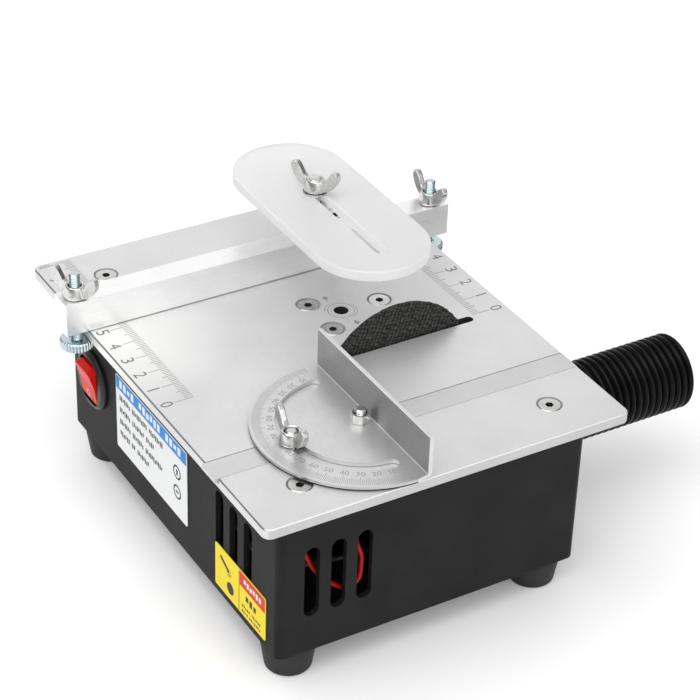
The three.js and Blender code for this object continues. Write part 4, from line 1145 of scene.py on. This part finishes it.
# ---- pieces that stay as the CAD made them ----
CAD_FINISH = {
    "bottom_plate": (HOUSING, 0.3), "lift_flange": (STEEL, 0.3), "guide_rod_1": (STEEL, 0.2),
    "guide_rod_2": (STEEL, 0.2), "lift_screw": (ZINC, 0.2), "lift_nut": (BRASS, 0.3),
    "carriage": (CARRIAGE, 0.4), "arbor_bearing": (SCREW_METAL, 0.2), "arbor": (STEEL, 0.1),
    "arbor_pulley": (ALUMINIUM, 0.1), "arbor_nut": (SCREW_METAL, 0.2), "inner_flange": (SCREW_METAL, 0.15),
    "outer_flange": (SCREW_METAL, 0.15), "motor_can": (ZINC, 0.5), "motor_cap": (BLACK, 0.1),
    "motor_shaft": (STEEL, 0.1), "drive_belt": (RUBBER, 0.2),
    **{f"foot_screw_{k}": (SCREW_METAL, 0.1) for k in table_corners(FOOT_IN, FOOT_IN)},
}


def dress_cad_nodes():
    """Gives each of these nodes its material and a small bevel of its own width."""
    for name, (material, width) in CAD_FINISH.items():
        obj = nodes[name]
        paint(obj, material)
        m = obj.modifiers.new("edge", "BEVEL")
        m.width, m.segments, m.limit_method, m.angle_limit = width * METRE, 2, "ANGLE", math.radians(40)
        smooth(obj.data, 35)


# ---- floor, light and camera ----
ROOM_LIGHT, ROOM_WALL = 0.52, 0.90
# each lobe of the room: its direction, its strength (dark where negative) and how narrow it is
ROOM_LOBES = (
    ((0.35, 0.8, 0.5), 0.22, 3), ((0.05, -0.87, 0.45), 1.4, 8), ((0, 0, 1), 0.18, 1),
    ((0.75, -0.5, 0.45), -0.6, 12), ((-0.6, 0.68, 0.4), -0.5, 9), ((-0.95, 0.0, 0.25), -0.3, 9),
    ((0.95, 0.3, 0.1), -0.5, 9), ((-0.6, -0.65, 0.5), -0.4, 14),
)
FLOOR_HALF, FLOOR_Z = 6.0, -0.0002
CAMERA_AT, CAMERA_LENS = (-0.36882, -0.58092, 0.51182), 117.886
CAMERA_RIGHT = Vector((0.863471, -0.503499, 0.030103))
CAMERA_DOWN = Vector((-0.25415, -0.485851, -0.836276))
CAMERA_FORWARD = Vector((0.435689, 0.714449, -0.547482))


def floor():
    corners = [(x * FLOOR_HALF, y * FLOOR_HALF, FLOOR_Z) for x, y in ((-1, -1), (1, -1), (1, 1), (-1, 1))]
    obj = new_object("floor", corners, [(0, 1, 2, 3)])
    p = Paint("floor_paper", grey(0.90), 0.85)
    p.set("Emission Color", (1, 1, 1, 1))
    p.set("Emission Strength", 0.12)
    p.drive("Base Color", p.blend(p.noise(0.02, 2), grey(0.91), grey(0.89)))
    paint(obj, p.material)


def softbox(name, location, size, power):
    light = bpy.data.lights.new(name, "AREA")
    light.shape, light.size, light.size_y, light.energy = "RECTANGLE", size[0], size[1], power
    obj = link(name, light)
    obj.location = location
    obj.rotation_mode = "QUATERNION"
    obj.rotation_quaternion = (Vector((0, 0, 0.05)) - Vector(location)).to_track_quat("-Z", "Y")


def surroundings():
    """A pale room that lights the object more from behind and in front, with darker gaps between."""
    world = bpy.data.worlds.new("studio")
    scene.world = world
    world.use_nodes = True
    tree = world.node_tree
    background = tree.nodes["Background"]
    outward = tree.nodes.new("ShaderNodeTexCoord").outputs["Generated"]

    def math_node(operation, *values):
        return add_node(tree, "Math", dict(enumerate(values)), operation=operation).outputs[0]

    total = ROOM_LIGHT
    for direction, power, sharpness in ROOM_LOBES:
        inputs = {0: outward, 1: Vector(direction).normalized()}
        dot = add_node(tree, "VectorMath", inputs, operation="DOT_PRODUCT")
        lobe = math_node("POWER", math_node("MAXIMUM", dot.outputs["Value"], 0), sharpness)
        total = math_node("MULTIPLY_ADD", lobe, power, total)
    by_camera = tree.nodes.new("ShaderNodeLightPath").outputs["Is Camera Ray"]
    inputs = {"Factor": by_camera, "A": math_node("MAXIMUM", total, 0.02), "B": ROOM_WALL}
    seen = add_node(tree, "Mix", inputs)
    tree.links.new(seen.outputs["Result"], background.inputs["Color"])
    background.inputs["Strength"].default_value = 1.0


def camera():
    data = bpy.data.cameras.new("camera")
    data.lens, data.sensor_width, data.clip_start, data.clip_end = CAMERA_LENS, 36, 0.05, 50
    obj = link("camera", data)
    turn = Matrix((CAMERA_RIGHT, -CAMERA_DOWN, -CAMERA_FORWARD)).transposed().to_4x4()
    obj.matrix_world = Matrix.Translation(CAMERA_AT) @ turn
    scene.camera = obj


table()
table_marks()
screws()
housing()
feet()
switch()
rocker()
jack()
lead("lead_red", 4.5, RED_WAY, RED_WIRE)
lead("lead_black", -4.5, BLACK_WAY, BLACK_WIRE)
labels()
hose()
clamps()
fence()
guard()
mitre_head()
mitre_marks()
mitre_bar()
mitre_nut()
mitre_studs()
blade()
dress_cad_nodes()
floor()
surroundings()
softbox("key", (-0.8, -0.3, 1.6), (2.0, 2.0), 24)
softbox("rear", (0.35, 1.5, 0.9), (2.0, 1.2), 2)
camera()
scene.view_settings.view_transform = "Standard"
